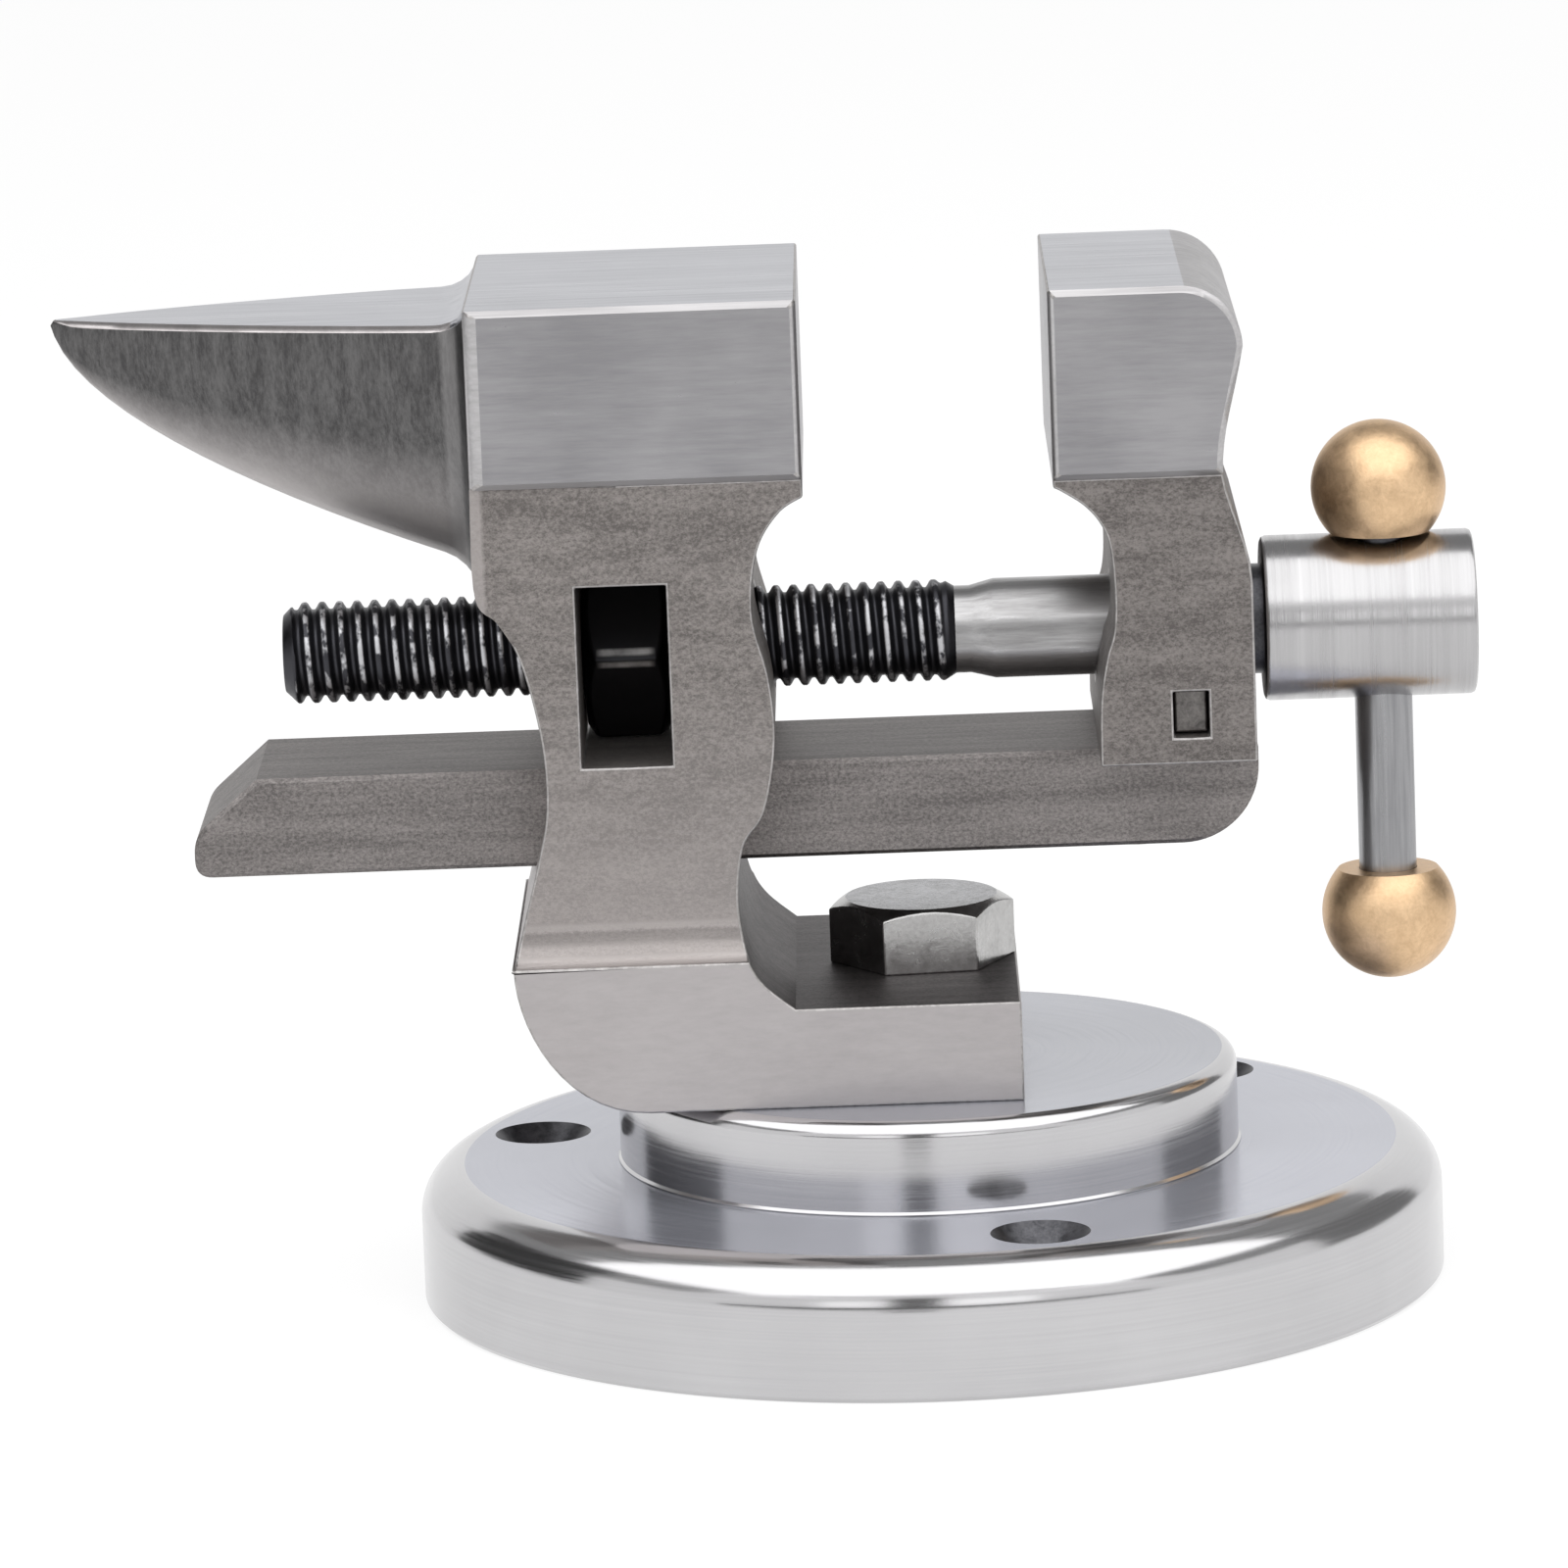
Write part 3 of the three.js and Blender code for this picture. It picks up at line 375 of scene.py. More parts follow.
# %% Turn the shank and the head
RUNOUT_LENGTH = 2.25
RUNOUT_CONE = 1.4
OVERLAP = 0.2
SHANK_RADIUS = 2.85
NECK_RADIUS = 3.15
KEY_INSET = 3.65
GROOVE_RADIUS = 1.85
GROOVE_HALF_WIDTH = 1.15
HEAD_RADIUS = (screw_high[2] - screw_low[2]) / 2
HEAD_LENGTH = 12.1
HEAD_EDGE = 0.3
HEAD_EDGE_BOW = 0.09
ROD_HOLE_GAP = 0.2
ROD_HOLE_Z = (20, 50)

shank_start = thread_end - OVERLAP
shank_full = thread_end + RUNOUT_LENGTH
head_start, head_end = screw_high[0] - HEAD_LENGTH, screw_high[0]
groove_x = jaw_back - KEY_INSET
groove_start, groove_end = groove_x - GROOVE_HALF_WIDTH, groove_x + GROOVE_HALF_WIDTH
bow_radius = HEAD_RADIUS - HEAD_EDGE_BOW
shank_profile = np.vstack([
    [(0, shank_start), (UNDERCUT_RADIUS, shank_start)],
    [(UNDERCUT_RADIUS, shank_full - RUNOUT_CONE)],
    [(SHANK_RADIUS, shank_full), (SHANK_RADIUS, groove_start)],
    [(GROOVE_RADIUS, groove_start), (GROOVE_RADIUS, groove_end), (SHANK_RADIUS, groove_end)],
    [(SHANK_RADIUS, jaw_back), (NECK_RADIUS, jaw_back), (NECK_RADIUS, head_start)],
    [(HEAD_RADIUS - HEAD_EDGE, head_start)],
    [(bow_radius, head_start + HEAD_EDGE_BOW), (HEAD_RADIUS, head_start + HEAD_EDGE)],
    [(HEAD_RADIUS, head_end - HEAD_EDGE), (bow_radius, head_end - HEAD_EDGE_BOW)],
    [(HEAD_RADIUS - HEAD_EDGE, head_end), (0, head_end)],
])
shank = show(turned("screw_shank_and_head", shank_profile, 128, (0, SCREW_AXIS_Z), "x"))
radius, (low, high) = ROD_RADIUS + ROD_HOLE_GAP, ROD_HOLE_Z
rod_hole = [(0, low), (radius, low), (radius, high), (0, high)]
cut(shank, [turned("rod_hole", rod_hole, HOLE_STEPS, (ROD_X, 0))])
stands_for(shank, "screw", "lead_screw")

# %% [markdown]
# ## Pieces that keep their solid shape
# Body, jaw and small parts could be built anew, but they already have their exact outlines. Only
# their edges are knife sharp, and no real edge is. A copy with its triangles joined takes a bevel
# modifier, which rounds each square edge by a tenth of a millimetre. A flat face with a hole in it
# is first split through the hole, because a bevel tears a face that runs round one.

# %% Copy a solid and break its edges
SQUARE_EDGE = 50
BEVEL_STEPS = 3
FLAT_WITHIN = 0.6
WELD_WITHIN = 2e-6


def eased_copy(node, name, body, width, splits=(), stays_sharp=None):
    """A copy of a solid in its place: triangles joined, faces split, square edges rounded.

    An edge is rounded where its faces meet at more than 50 degrees, unless its middle in
    millimetres makes stays_sharp true.
    """
    shell = bmesh.new()
    shell.from_mesh(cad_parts[node].data)
    bmesh.ops.remove_doubles(shell, verts=shell.verts, dist=WELD_WITHIN)
    bmesh.ops.dissolve_degenerate(shell, dist=JOIN_WITHIN, edges=shell.edges)
    for axis, level in splits:
        across = np.array([letter == axis for letter in "xyz"], float)
        everything = [*shell.verts, *shell.edges, *shell.faces]
        split = bmesh.ops.bisect_plane(
            shell, geom=everything, dist=JOIN_WITHIN, plane_co=across * level * MM, plane_no=across
        )
        for item in split["geom_cut"]:
            if isinstance(item, bmesh.types.BMEdge):
                item.seam = True
    flat = math.radians(FLAT_WITHIN)
    bmesh.ops.dissolve_limit(
        shell, angle_limit=flat, verts=shell.verts, edges=shell.edges, delimit={"SEAM"}
    )
    bmesh.ops.recalc_face_normals(shell, faces=shell.faces)
    weight = shell.edges.layers.float.new("bevel_weight_edge")
    for edge in shell.edges:
        middle = (edge.verts[0].co + edge.verts[1].co) / 2 / MM
        square = len(edge.link_faces) == 2 and edge.calc_face_angle() > math.radians(SQUARE_EDGE)
        sharp = stays_sharp is not None and stays_sharp(middle)
        edge[weight] = float(square and not sharp)
    mesh = bpy.data.meshes.new(name)
    shell.to_mesh(mesh)
    shell.free()
    piece = show(mesh)
    bevel = piece.modifiers.new("edge break", "BEVEL")
    bevel.width = width * MM
    bevel.segments = BEVEL_STEPS
    bevel.limit_method = "WEIGHT"
    bevel.use_clamp_overlap = False
    bevel.miter_outer = "MITER_SHARP"
    shade_evenly(piece)
    return stands_for(piece, body, node)


middle_plane = ("y", 0.0)

# %% [markdown]
# The curved edge under the horn and the short slanting edges at the block's back are too tight for
# a bevel, which would fold there, so they stay sharp. The body is split through the nut's window
# and through the bolt's hole.

# %% Ease the body
BACK_X = (-25, -22.4)
HEEL_Z = (40, 48.85)
COLUMN_HALF_WIDTH = 11.6
BLOCK_HALF_WIDTH = 12.09
BLOCK_RIM_Z = 58.8


def is_heel_or_corner(point):
    """True on the curved edge under the horn and the slanting edges at the block's back."""
    across = abs(point.y)
    at_back = BACK_X[0] < point.x < BACK_X[1]
    heel = at_back and HEEL_Z[0] < point.z < HEEL_Z[1] and abs(across - COLUMN_HALF_WIDTH) < 0.05
    corner = at_back and point.z > BLOCK_RIM_Z and COLUMN_HALF_WIDTH < across < BLOCK_HALF_WIDTH
    return heel or corner


nut_x, _, nut_z = middle_of("lead_nut")
body_splits = [("x", nut_x), ("x", 0.0), middle_plane]
vise_body = eased_copy(
    "vise_body", "ground_vise_body", "swivel", 0.12, body_splits, is_heel_or_corner
)

# %% [markdown]
# The jaw's leg is split through the key's slot, and leg and bar through the two screws that hold
# them together. The key lies a little deeper in its slot than the leg's face, which gives the slot
# a shadow. A scale along y, worked into its mesh, shortens it at both ends.

# %% Ease the jaw, the bar and the small pieces
KEY_RECESS = 0.45

key_x = middle_of("screw_retaining_key")[0]
bar_splits = [("x", middle_of("bar_screw_1")[0])]
jaw_splits = [("x", key_x), *bar_splits, middle_plane]
moving_jaw = eased_copy("moving_jaw", "ground_moving_jaw", "jaw", 0.12, jaw_splits)
slide_bar = eased_copy("slide_bar", "eased_slide_bar", "jaw", 0.12, bar_splits)
pivot_bolt = eased_copy("pivot_bolt", "eased_pivot_bolt", "bolt", 0.1)
lead_nut = eased_copy("lead_nut", "eased_lead_nut", "swivel", 0.15, [middle_plane])
key = eased_copy("screw_retaining_key", "eased_retaining_key", "jaw", 0.12)
key_end = place("screw_retaining_key")[1][1]
key.data.transform(Matrix.Diagonal((1, 1 - KEY_RECESS / key_end, 1, 1)))
bar_screws = [
    eased_copy(node, f"eased_{node}", "jaw", 0.06)
    for node in ("bar_screw_1", "bar_screw_2")
]

# %% [markdown]
# ## Finishes
# A finish is a small web of nodes. Painted or photographed textures could do it too, but nodes work
# at any distance and need no unwrapping. A Mapping node stretches the object's own coordinates:
# noise that is long along one axis and short across it reads as grinding or turning lines. The same
# noise drives colour, roughness and a very low bump.

# %% Helpers for finishes


def set_inputs(node, **values):
    """Sets inputs of a node by their names, with an underscore for each space."""
    for name, value in values.items():
        node.inputs[name.replace("_", " ")].default_value = value


class NodeWeb:
    """The nodes of a material or of the room, and short ways to add, link and reckon."""

    def __init__(self, owner):
        owner.use_nodes = True
        self.tree = owner.node_tree

    def add(self, kind, **settings):
        """A new node of a kind, with its settings."""
        node = self.tree.nodes.new(kind)
        for name, value in settings.items():
            setattr(node, name, value)
        return node

    def link(self, value, target):
        """Links a socket to the target, or sets a plain number or colour there."""
        if isinstance(value, bpy.types.NodeSocket):
            self.tree.links.new(value, target)
        else:
            target.default_value = (*value, 1) if isinstance(value, tuple) else value

    def math(self, operation, a, b=0.0):
        """One sum, with a and b each a number or a socket."""
        node = self.add("ShaderNodeMath", operation=operation)
        self.link(a, node.inputs[0])
        self.link(b, node.inputs[1])
        return node.outputs["Value"]

    def between(self, value, low, high, start=0.3, end=0.7):
        """Maps a value from start..end to low..high, held at both ends."""
        node = self.add("ShaderNodeMapRange", clamp=True)
        set_inputs(node, From_Min=start, From_Max=end, To_Min=low, To_Max=high)
        self.link(value, node.inputs["Value"])
        return node.outputs["Result"]


class Finish(NodeWeb):
    """A metal finish: its shader and the nodes that vary it over the surface."""

    def __init__(self, name, colour, roughness, metallic=1.0):
        self.material = bpy.data.materials.new(name)
        super().__init__(self.material)
        self.shader = self.tree.nodes["Principled BSDF"]
        set_inputs(self.shader, Metallic=metallic, Base_Color=(*colour, 1), Roughness=roughness)
        self.bump = None
        self.places = self.add("ShaderNodeTexCoord")
        print("finish:", name)

    def stretched(self, per_mm, centre=(0, 0, 0)):
        """Object coordinates about a centre in millimetres, times so many waves for each one."""
        mapping = self.add("ShaderNodeMapping")
        shift = [-c * s for c, s in zip(centre, per_mm)]
        set_inputs(mapping, Location=shift, Scale=[s / MM for s in per_mm])
        self.link(self.places.outputs["Object"], mapping.inputs["Vector"])
        return mapping.outputs["Vector"]

    def parts(self, vector):
        """The X, Y and Z of a vector, by name."""
        split = self.add("ShaderNodeSeparateXYZ")
        self.link(vector, split.inputs["Vector"])
        return split.outputs

    def place_along(self, axis):
        """The object's own X, Y or Z in millimetres."""
        return self.parts(self.stretched((1, 1, 1)))[axis]

    def from_axis(self, across, centre=(0, 0, 0)):
        """The distance from an axis in millimetres; across is 1 for x, y or z across it, else 0."""
        length = self.add("ShaderNodeVectorMath", operation="LENGTH")
        self.link(self.stretched(across, centre), length.inputs[0])
        return length.outputs["Value"]

    def noise(self, waves, detail=4, roughness=0.6, distortion=0.0):
        """Smooth noise between 0 and 1, with so many waves in a millimetre or from a vector.

        Detail counts its layers of ever finer waves.
        """
        vector = waves if isinstance(waves, bpy.types.NodeSocket) else self.stretched(waves)
        node = self.add("ShaderNodeTexNoise")
        set_inputs(node, Scale=1, Detail=detail, Roughness=roughness, Distortion=distortion)
        self.link(vector, node.inputs["Vector"])
        return node.outputs["Fac"]

    def weighted(self, first, first_share, second, second_share):
        """Two values added, each times its share."""
        first_part = self.math("MULTIPLY", first, first_share)
        return self.math("ADD", first_part, self.math("MULTIPLY", second, second_share))

    def distance(self, value, other):
        """The size of the difference between two values."""
        return self.math("ABSOLUTE", self.math("SUBTRACT", value, other))

    def blend(self, share, first, second):
        """Colours mixed by a share; each is a colour or a socket."""
        node = self.add("ShaderNodeMix", data_type="RGBA")
        for value, socket in zip((share, first, second), (0, 6, 7)):
            self.link(value, node.inputs[socket])
        return node.outputs[2]

    def banded(self, colour, share, tones, light, dark):
        """A colour with bands: each tone turns it towards light (up to 1) or dark (down to -1)."""
        ramp = self.add("ShaderNodeValToRGB")
        self.link(share, ramp.inputs["Fac"])
        stops = ramp.color_ramp.elements
        for _ in tones[2:]:
            stops.new(0.5)
        for stop, (position, tone) in zip(stops, tones):
            stop.position = position
            stop.color = (max(tone, 0), max(-tone, 0), 0, 1)
        parts = self.parts(ramp.outputs["Color"])
        return self.blend(parts["Y"], self.blend(parts["X"], colour, light), dark)

    def colour_from(self, socket):
        self.link(socket, self.shader.inputs["Base Color"])

    def roughness_from(self, socket):
        self.link(socket, self.shader.inputs["Roughness"])

    def relief(self, height, depth, strength=1.0):
        """Adds a bump of the given depth in millimetres, on top of any bump before it."""
        node = self.add("ShaderNodeBump")
        set_inputs(node, Strength=strength, Distance=depth * MM)
        self.link(height, node.inputs["Height"])
        if self.bump is not None:
            self.link(self.bump, node.inputs["Normal"])
        self.bump = node.outputs["Normal"]
        self.link(self.bump, self.shader.inputs["Normal"])


# %% [markdown]
# ### Ground jaw blocks
# The jaw blocks are ground on a belt that runs along the vise: long soft streaks with fine ones on
# top, and faint clouds where the belt pressed more. One noise alone looks like printed wood, so
# three of different size are laid over each other. All finishes below share this recipe.

# %% Grind the jaw blocks


def streaked_steel(name, dark, light, streaks, roughness, depth, cloud=0.25):
    """Steel with lines along one axis: fine streaks over wide ones over soft clouds.

    Streaks counts the waves in a millimetre of x, y and z, and depth is the bump's.
    """
    finish = Finish(name, light, roughness)
    wide = finish.noise([s * 0.35 for s in streaks], 3, 0.55)
    fine = finish.noise(streaks, 5, 0.7)
    clouds = finish.noise((0.12, 0.12, 0.12), 3, 0.5)
    grain = finish.weighted(fine, 0.6, wide, 0.4)
    patchy = finish.math("MULTIPLY", finish.between(clouds, -cloud, cloud), 0.5)
    share = finish.between(finish.math("ADD", grain, patchy), 0, 1, 0.3, 0.7)
    finish.colour_from(finish.blend(share, dark, light))
    finish.roughness_from(finish.between(grain, roughness + 0.08, roughness - 0.08))
    finish.relief(grain, depth)
    return finish


ground_steel = streaked_steel(
    "ground_steel", (0.295, 0.29, 0.302), (0.395, 0.388, 0.40), (0.3, 3.6, 3.6), 0.34, 0.006, 0.35
)
# Tops and the horn's root ramp get a lighter, bluer copy of the ground steel: painted light from
# above.
painted_light_top_steel = streaked_steel(
    "painted_light_top_steel", (0.42, 0.425, 0.455), (0.50, 0.505, 0.54), (0.12, 5, 5), 0.32, 0.004
)
# Chamfers get a lighter copy of the ground steel: a painted highlight.
chamfer_painted_highlight_steel = streaked_steel(
    "chamfer_painted_highlight_steel", (0.42, 0.41, 0.415), (0.56, 0.55, 0.555), (0.12, 5, 5), 0.5, 0.004
)
# The horn's upper edge gets a pale band: a painted highlight.
horn_edge_painted_highlight = streaked_steel(
    "horn_edge_painted_highlight", (0.30, 0.28, 0.28), (0.78, 0.74, 0.74), (0.5, 0.5, 0.5), 0.4, 0.002
)
satin_steel = streaked_steel(
    "satin_steel", (0.46, 0.435, 0.435), (0.51, 0.485, 0.485), (0.8, 3, 3), 0.5, 0.001
)

# %% [markdown]
# ### The horn
# The horn is brushed from top to keel. Its side is painted dark, a painted shade for a side that
# turns down, and lighter towards the keel as painted light from below, with a painted highlight band
# and a line of painted shade at its root. Separate finishes would meet in hard lines, so one finish
# blends them: the normal's height tells how far a face turns down, and the place along x finds the
# root.

# %% Brush the horn
# Painted light and shade on the horn: a dark side, a lighter keel, and at the root a highlight band
# and a shade line.
HORN_DARK, HORN_LIGHT = (0.078, 0.076, 0.077), (0.155, 0.152, 0.152)
HORN_KEEL_PAINTED_LIGHT = (0.58, 0.55, 0.545)
ROOT_BAND_X = (-26.0, -24.4)
ROOT_PAINTED_TONES = [(0.0, 0.0), (0.2, 0.3), (0.6, 0.3), (0.74, -0.4), (0.9, -0.4), (1.0, 0.0)]
ROOT_PAINTED_HIGHLIGHT, ROOT_PAINTED_SHADE = (0.42, 0.41, 0.41), (0.03, 0.03, 0.032)


def brushed_horn():
    """Dark brushed steel with painted shade, painted light towards the keel, and at the root a
    painted highlight band and a painted shade line.
    """
    finish = Finish("horn_steel", (0.12, 0.12, 0.12), 0.46)
    brushed = finish.noise((5, 5, 1.3), 5, 0.8)
    wide = finish.noise((1.2, 1.2, 0.25), 3, 0.6)
    grain = finish.weighted(brushed, 0.6, wide, 0.4)
    toned = finish.blend(finish.between(grain, 0, 1, 0.4, 0.6), HORN_DARK, HORN_LIGHT)
    facing = finish.parts(finish.places.outputs["Normal"])
    keel = finish.between(facing["Z"], 0.75, 0, -0.75, -0.3)
    toned = finish.blend(keel, toned, HORN_KEEL_PAINTED_LIGHT)
    root = finish.between(finish.place_along("X"), 0, 1, *ROOT_BAND_X)
    finish.colour_from(finish.banded(toned, root, ROOT_PAINTED_TONES, ROOT_PAINTED_HIGHLIGHT, ROOT_PAINTED_SHADE))
    finish.roughness_from(finish.between(grain, 0.5, 0.42))
    finish.relief(grain, 0.006)
    return finish


horn_steel = brushed_horn()

# %% [markdown]
# ### Grained leg and bar
# The column, the leg and the bar have a fine sandy grain. Two noises of different size give grain
# and faint banding, and a low bump breaks the reflections up. Colour alone would look printed.

# %% Grain the leg and the bar


def grained_steel(name, dark, light, roughness, banding, tint=None):
    """Steel with a sandy grain of about a fifth of a millimetre; tint may change its colour."""
    finish = Finish(name, light, roughness)
    sand = finish.noise((4.2, 6, 6), 4, 0.8)
    bands = finish.noise(banding, 3, 0.6)
    share = finish.weighted(sand, 0.75, bands, 0.25)
    toned = finish.blend(finish.between(share, 0, 1, 0.40, 0.60), dark, light)
    if tint is not None:
        toned = tint(finish, toned, sand)
    finish.colour_from(toned)
    finish.roughness_from(finish.between(sand, roughness - 0.05, roughness + 0.07))
    finish.relief(sand, 0.03, 0.8)
    return finish


leg_steel = grained_steel(
    "leg_steel", (0.13, 0.119, 0.114), (0.285, 0.263, 0.252), 0.55, (0.2, 0.9, 0.9)
)
bar_steel = grained_steel(
    "bar_steel", (0.14, 0.13, 0.127), (0.31, 0.288, 0.28), 0.5, (0.12, 1.2, 1.2)
)
# The foot's top and the column's flank under the bar are darker: painted shade.
sandy_painted_shade_steel = grained_steel(
    "sandy_painted_shade_steel", (0.06, 0.055, 0.055), (0.19, 0.175, 0.175), 0.5, (0.2, 0.9, 0.9)
)

# %% [markdown]
# ### The column
# The column has the same grain and is painted lighter towards the foot, a painted light, where its
# face runs out in a small hollow: a painted highlight on the lip, a band of painted shade and a
# painted highlight on the run on to the foot. A narrow painted highlight strip runs down its back
# edge. The solid has the hollow's shape, and the painted tones only help it to read.

# %% Tone the column
# Painted light and shade on the column: lighter to the foot, bands in the hollow, a strip at the
# back.
LIT_BELOW_Z = (23, 38)
HOLLOW_LOW_Z, HOLLOW_HIGH_Z = 21.6, 23.6
LIP_HIGH_Z = 24.0
HOLLOW_PAINTED_TONES = [
    (0.0, 1.0), (0.1, 1.0), (0.22, 0.0), (0.4, 0.0), (0.52, -0.25), (0.72, -0.25),
    (0.8, 0.45), (0.9, 0.45), (0.98, 0.0),
]
STRIP_X = (-23.95, -23.7)
STRIP_LOW_Z = (40.5, 42)
COLUMN_PAINTED_LIGHT, COLUMN_PAINTED_SHADE = (0.50, 0.465, 0.455), (0.08, 0.074, 0.071)


def column_painted_light(finish, toned, sand):
    """Painted light towards the foot, with the hollow's painted light and shade bands and a painted
    highlight strip at the back.
    """
    height = finish.place_along("Z")
    toned = finish.blend(finish.between(height, 0.5, 0, *LIT_BELOW_Z), toned, COLUMN_PAINTED_LIGHT)
    band = finish.between(height, 0, 1, HOLLOW_LOW_Z, LIP_HIGH_Z)
    uneven = finish.math("ADD", band, finish.between(sand, -0.03, 0.03))
    toned = finish.banded(toned, uneven, HOLLOW_PAINTED_TONES, COLUMN_PAINTED_LIGHT, COLUMN_PAINTED_SHADE)
    behind = finish.between(finish.place_along("X"), 0.55, 0, *STRIP_X)
    high = finish.between(height, 0, 1, *STRIP_LOW_Z)
    return finish.blend(finish.math("MULTIPLY", behind, high), toned, COLUMN_PAINTED_LIGHT)


column_steel = grained_steel(
    "column_steel", (0.15, 0.138, 0.132), (0.33, 0.305, 0.292), 0.55, (0.2, 0.9, 0.9), column_painted_light
)

# %% [markdown]
# ### Polished turned steel
# Base and disc are turned and polished, which leaves faint rings round the axis. A Wave texture
# draws rings too, but evenly, and real ones vary. The radius less the height is constant along such
# a ring on top, rim and side alike, so noise along that value draws them all.

# %% Polish the base


def polished_turning(name, colour, roughness, metallic, rings_per_mm=6, depth=0.002):
    """Steel with faint rings about the z axis: noise along the radius less the height.

    The noise also takes x and y over the radius, so that a ring's tone varies on its way round.
    """
    finish = Finish(name, colour, roughness, metallic)
    spot = finish.parts(finish.stretched((1, 1, 1)))
    radius = finish.from_axis((1, 1, 0))
    inward = finish.math("SUBTRACT", radius, spot["Z"])
    turn = finish.add("ShaderNodeCombineXYZ")
    above_zero = finish.math("ADD", radius, 0.01)
    for axis in "XY":
        finish.link(finish.math("DIVIDE", spot[axis], above_zero), turn.inputs[axis])
    finish.link(finish.math("MULTIPLY", inward, rings_per_mm), turn.inputs["Z"])
    rings = finish.noise(turn.outputs["Vector"], 4, 0.7)
    clouds = finish.noise((0.1, 0.1, 0.1), 3, 0.5)
    tone = finish.weighted(rings, 0.5, clouds, 0.5)
    darker = tuple(c * 0.88 for c in colour)
    finish.colour_from(finish.blend(finish.between(tone, 0, 1, 0.35, 0.65), darker, colour))
    finish.roughness_from(finish.between(rings, roughness - 0.05, roughness + 0.07))
    finish.relief(rings, depth)
    return finish


polished_steel = polished_turning("polished_steel", (0.57, 0.565, 0.575), 0.15, 0.97)
# Flat tops get a duller, bluer copy of the polished steel: a painted reflection of the light from
# above.
polished_top_painted_light = polished_turning("polished_top_painted_light", (0.46, 0.47, 0.53), 0.2, 0.75)
disc_top_painted_light = polished_turning("disc_top_painted_light", (0.41, 0.42, 0.465), 0.2, 0.75)

# %% [markdown]
# ### Turned screw and rod
# The screw's head shows fine rings across its axis: streaks that change along x alone. The shank
# and the rod have lines along them, from drawing. So the streaked recipe serves again.

# %% Finish the screw and the rod
turned_steel = streaked_steel(
    "turned_steel", (0.42, 0.415, 0.42), (0.52, 0.515, 0.52), (2.4, 0.05, 0.05), 0.24, 0.015, 0.1
)
shank_steel = streaked_steel(
    "shank_steel", (0.28, 0.275, 0.275), (0.52, 0.515, 0.52), (0.35, 4, 4), 0.32, 0.006, 0.1
)
rod_steel = streaked_steel(
    "rod_steel", (0.24, 0.24, 0.25), (0.40, 0.40, 0.41), (4, 4, 0.15), 0.3, 0.003, 0.1
)

# %% [markdown]
# ### Cut thread
# The thread is dark, and its crests are painted bright here and there: painted highlights. Faces
# can't be sorted by hand on so fine a shape, so the finish measures each point's distance from the
# screw's axis.

# %% Darken the thread
CREST_RADII = (2.83, 2.895)


def threaded_steel():
    """Dark steel whose colour turns bright with the distance from the screw's axis: a painted
    highlight on the crests.
    """
    finish = Finish("threaded_steel", (0.05, 0.05, 0.055), 0.35)
    radius = finish.from_axis((0, 1, 1), (0, 0, SCREW_AXIS_Z))
    smudge = finish.noise((1.1, 0.8, 0.8), 3, 0.6)
    crest = finish.between(radius, 0, 1, *CREST_RADII)
    crest_highlight = finish.math("MULTIPLY", crest, finish.between(smudge, 0, 1, 0.46, 0.56))
    finish.colour_from(finish.blend(crest_highlight, (0.055, 0.055, 0.062), (0.56, 0.56, 0.58)))
    finish.roughness_from(finish.between(smudge, 0.32, 0.5))
    return finish


thread_steel = threaded_steel()

# %% [markdown]
# ### Brass, bolt and small parts
# Brass is satin with a soft mottled tarnish, and the bolt and the key look as uneven in grey. The
# broken edges get a lighter mottled grey, a painted highlight. A single colour would look like
# plastic. Mottling has no direction, so its two noises are the same along all three axes.

# %% Mottle the brass, the bolt and the edges


def mottled_metal(name, dark, light, roughness, depth, per_mm=1.1):
    """Metal with soft mottling and a faint hammered unevenness."""
    finish = Finish(name, light, roughness)
    mottle = finish.noise((per_mm,) * 3, 5, 0.65, 0.6)
    specks = finish.noise((per_mm * 5,) * 3, 3, 0.6)
    tone = finish.weighted(mottle, 0.7, specks, 0.3)
    finish.colour_from(finish.blend(finish.between(tone, 0, 1, 0.35, 0.65), dark, light))
    finish.roughness_from(finish.between(mottle, roughness - 0.06, roughness + 0.08))
    finish.relief(tone, depth)
    return finish


brass = mottled_metal("brass", (0.63, 0.43, 0.255), (0.83, 0.595, 0.37), 0.4, 0.03)
bolt_steel = mottled_metal("bolt_steel", (0.36, 0.355, 0.35), (0.52, 0.515, 0.51), 0.22, 0.02, 0.8)
bolt_top_steel = mottled_metal(
    "bolt_top_steel", (0.10, 0.10, 0.105), (0.50, 0.50, 0.52), 0.25, 0.05, 0.9
)
key_steel = mottled_metal("key_steel", (0.11, 0.104, 0.1), (0.27, 0.255, 0.245), 0.5, 0.02, 1.5)
# The broken edges get a lighter grey: a painted highlight where light catches them.
painted_edge_highlight = mottled_metal("painted_edge_highlight", (0.28, 0.268, 0.262), (0.54, 0.522, 0.515), 0.45, 0.004, 1.3)
# Dark steel also serves as painted shade in the base's holes, at the screw's neck and on the rod
# under the upper ball.
dark_steel = mottled_metal("dark_steel", (0.05, 0.05, 0.055), (0.12, 0.12, 0.13), 0.35, 0.01, 1.5)

# %% [markdown]
# ### The nut in its window
# The nut is dark, and along its front edge two short bright lines are painted highlights. They
# could be narrow faces, but are a matter of tone alone. So the finish draws them: bright where the
# height is a set distance from the edge's, and only near the nut's middle.

# %% Rub the nut's edge
NUT_LINE_OFFSET = 0.36
NUT_LINE_WIDTH = (0.08, 0.24)
NUT_LINE_REACH = (1.3, 1.7)


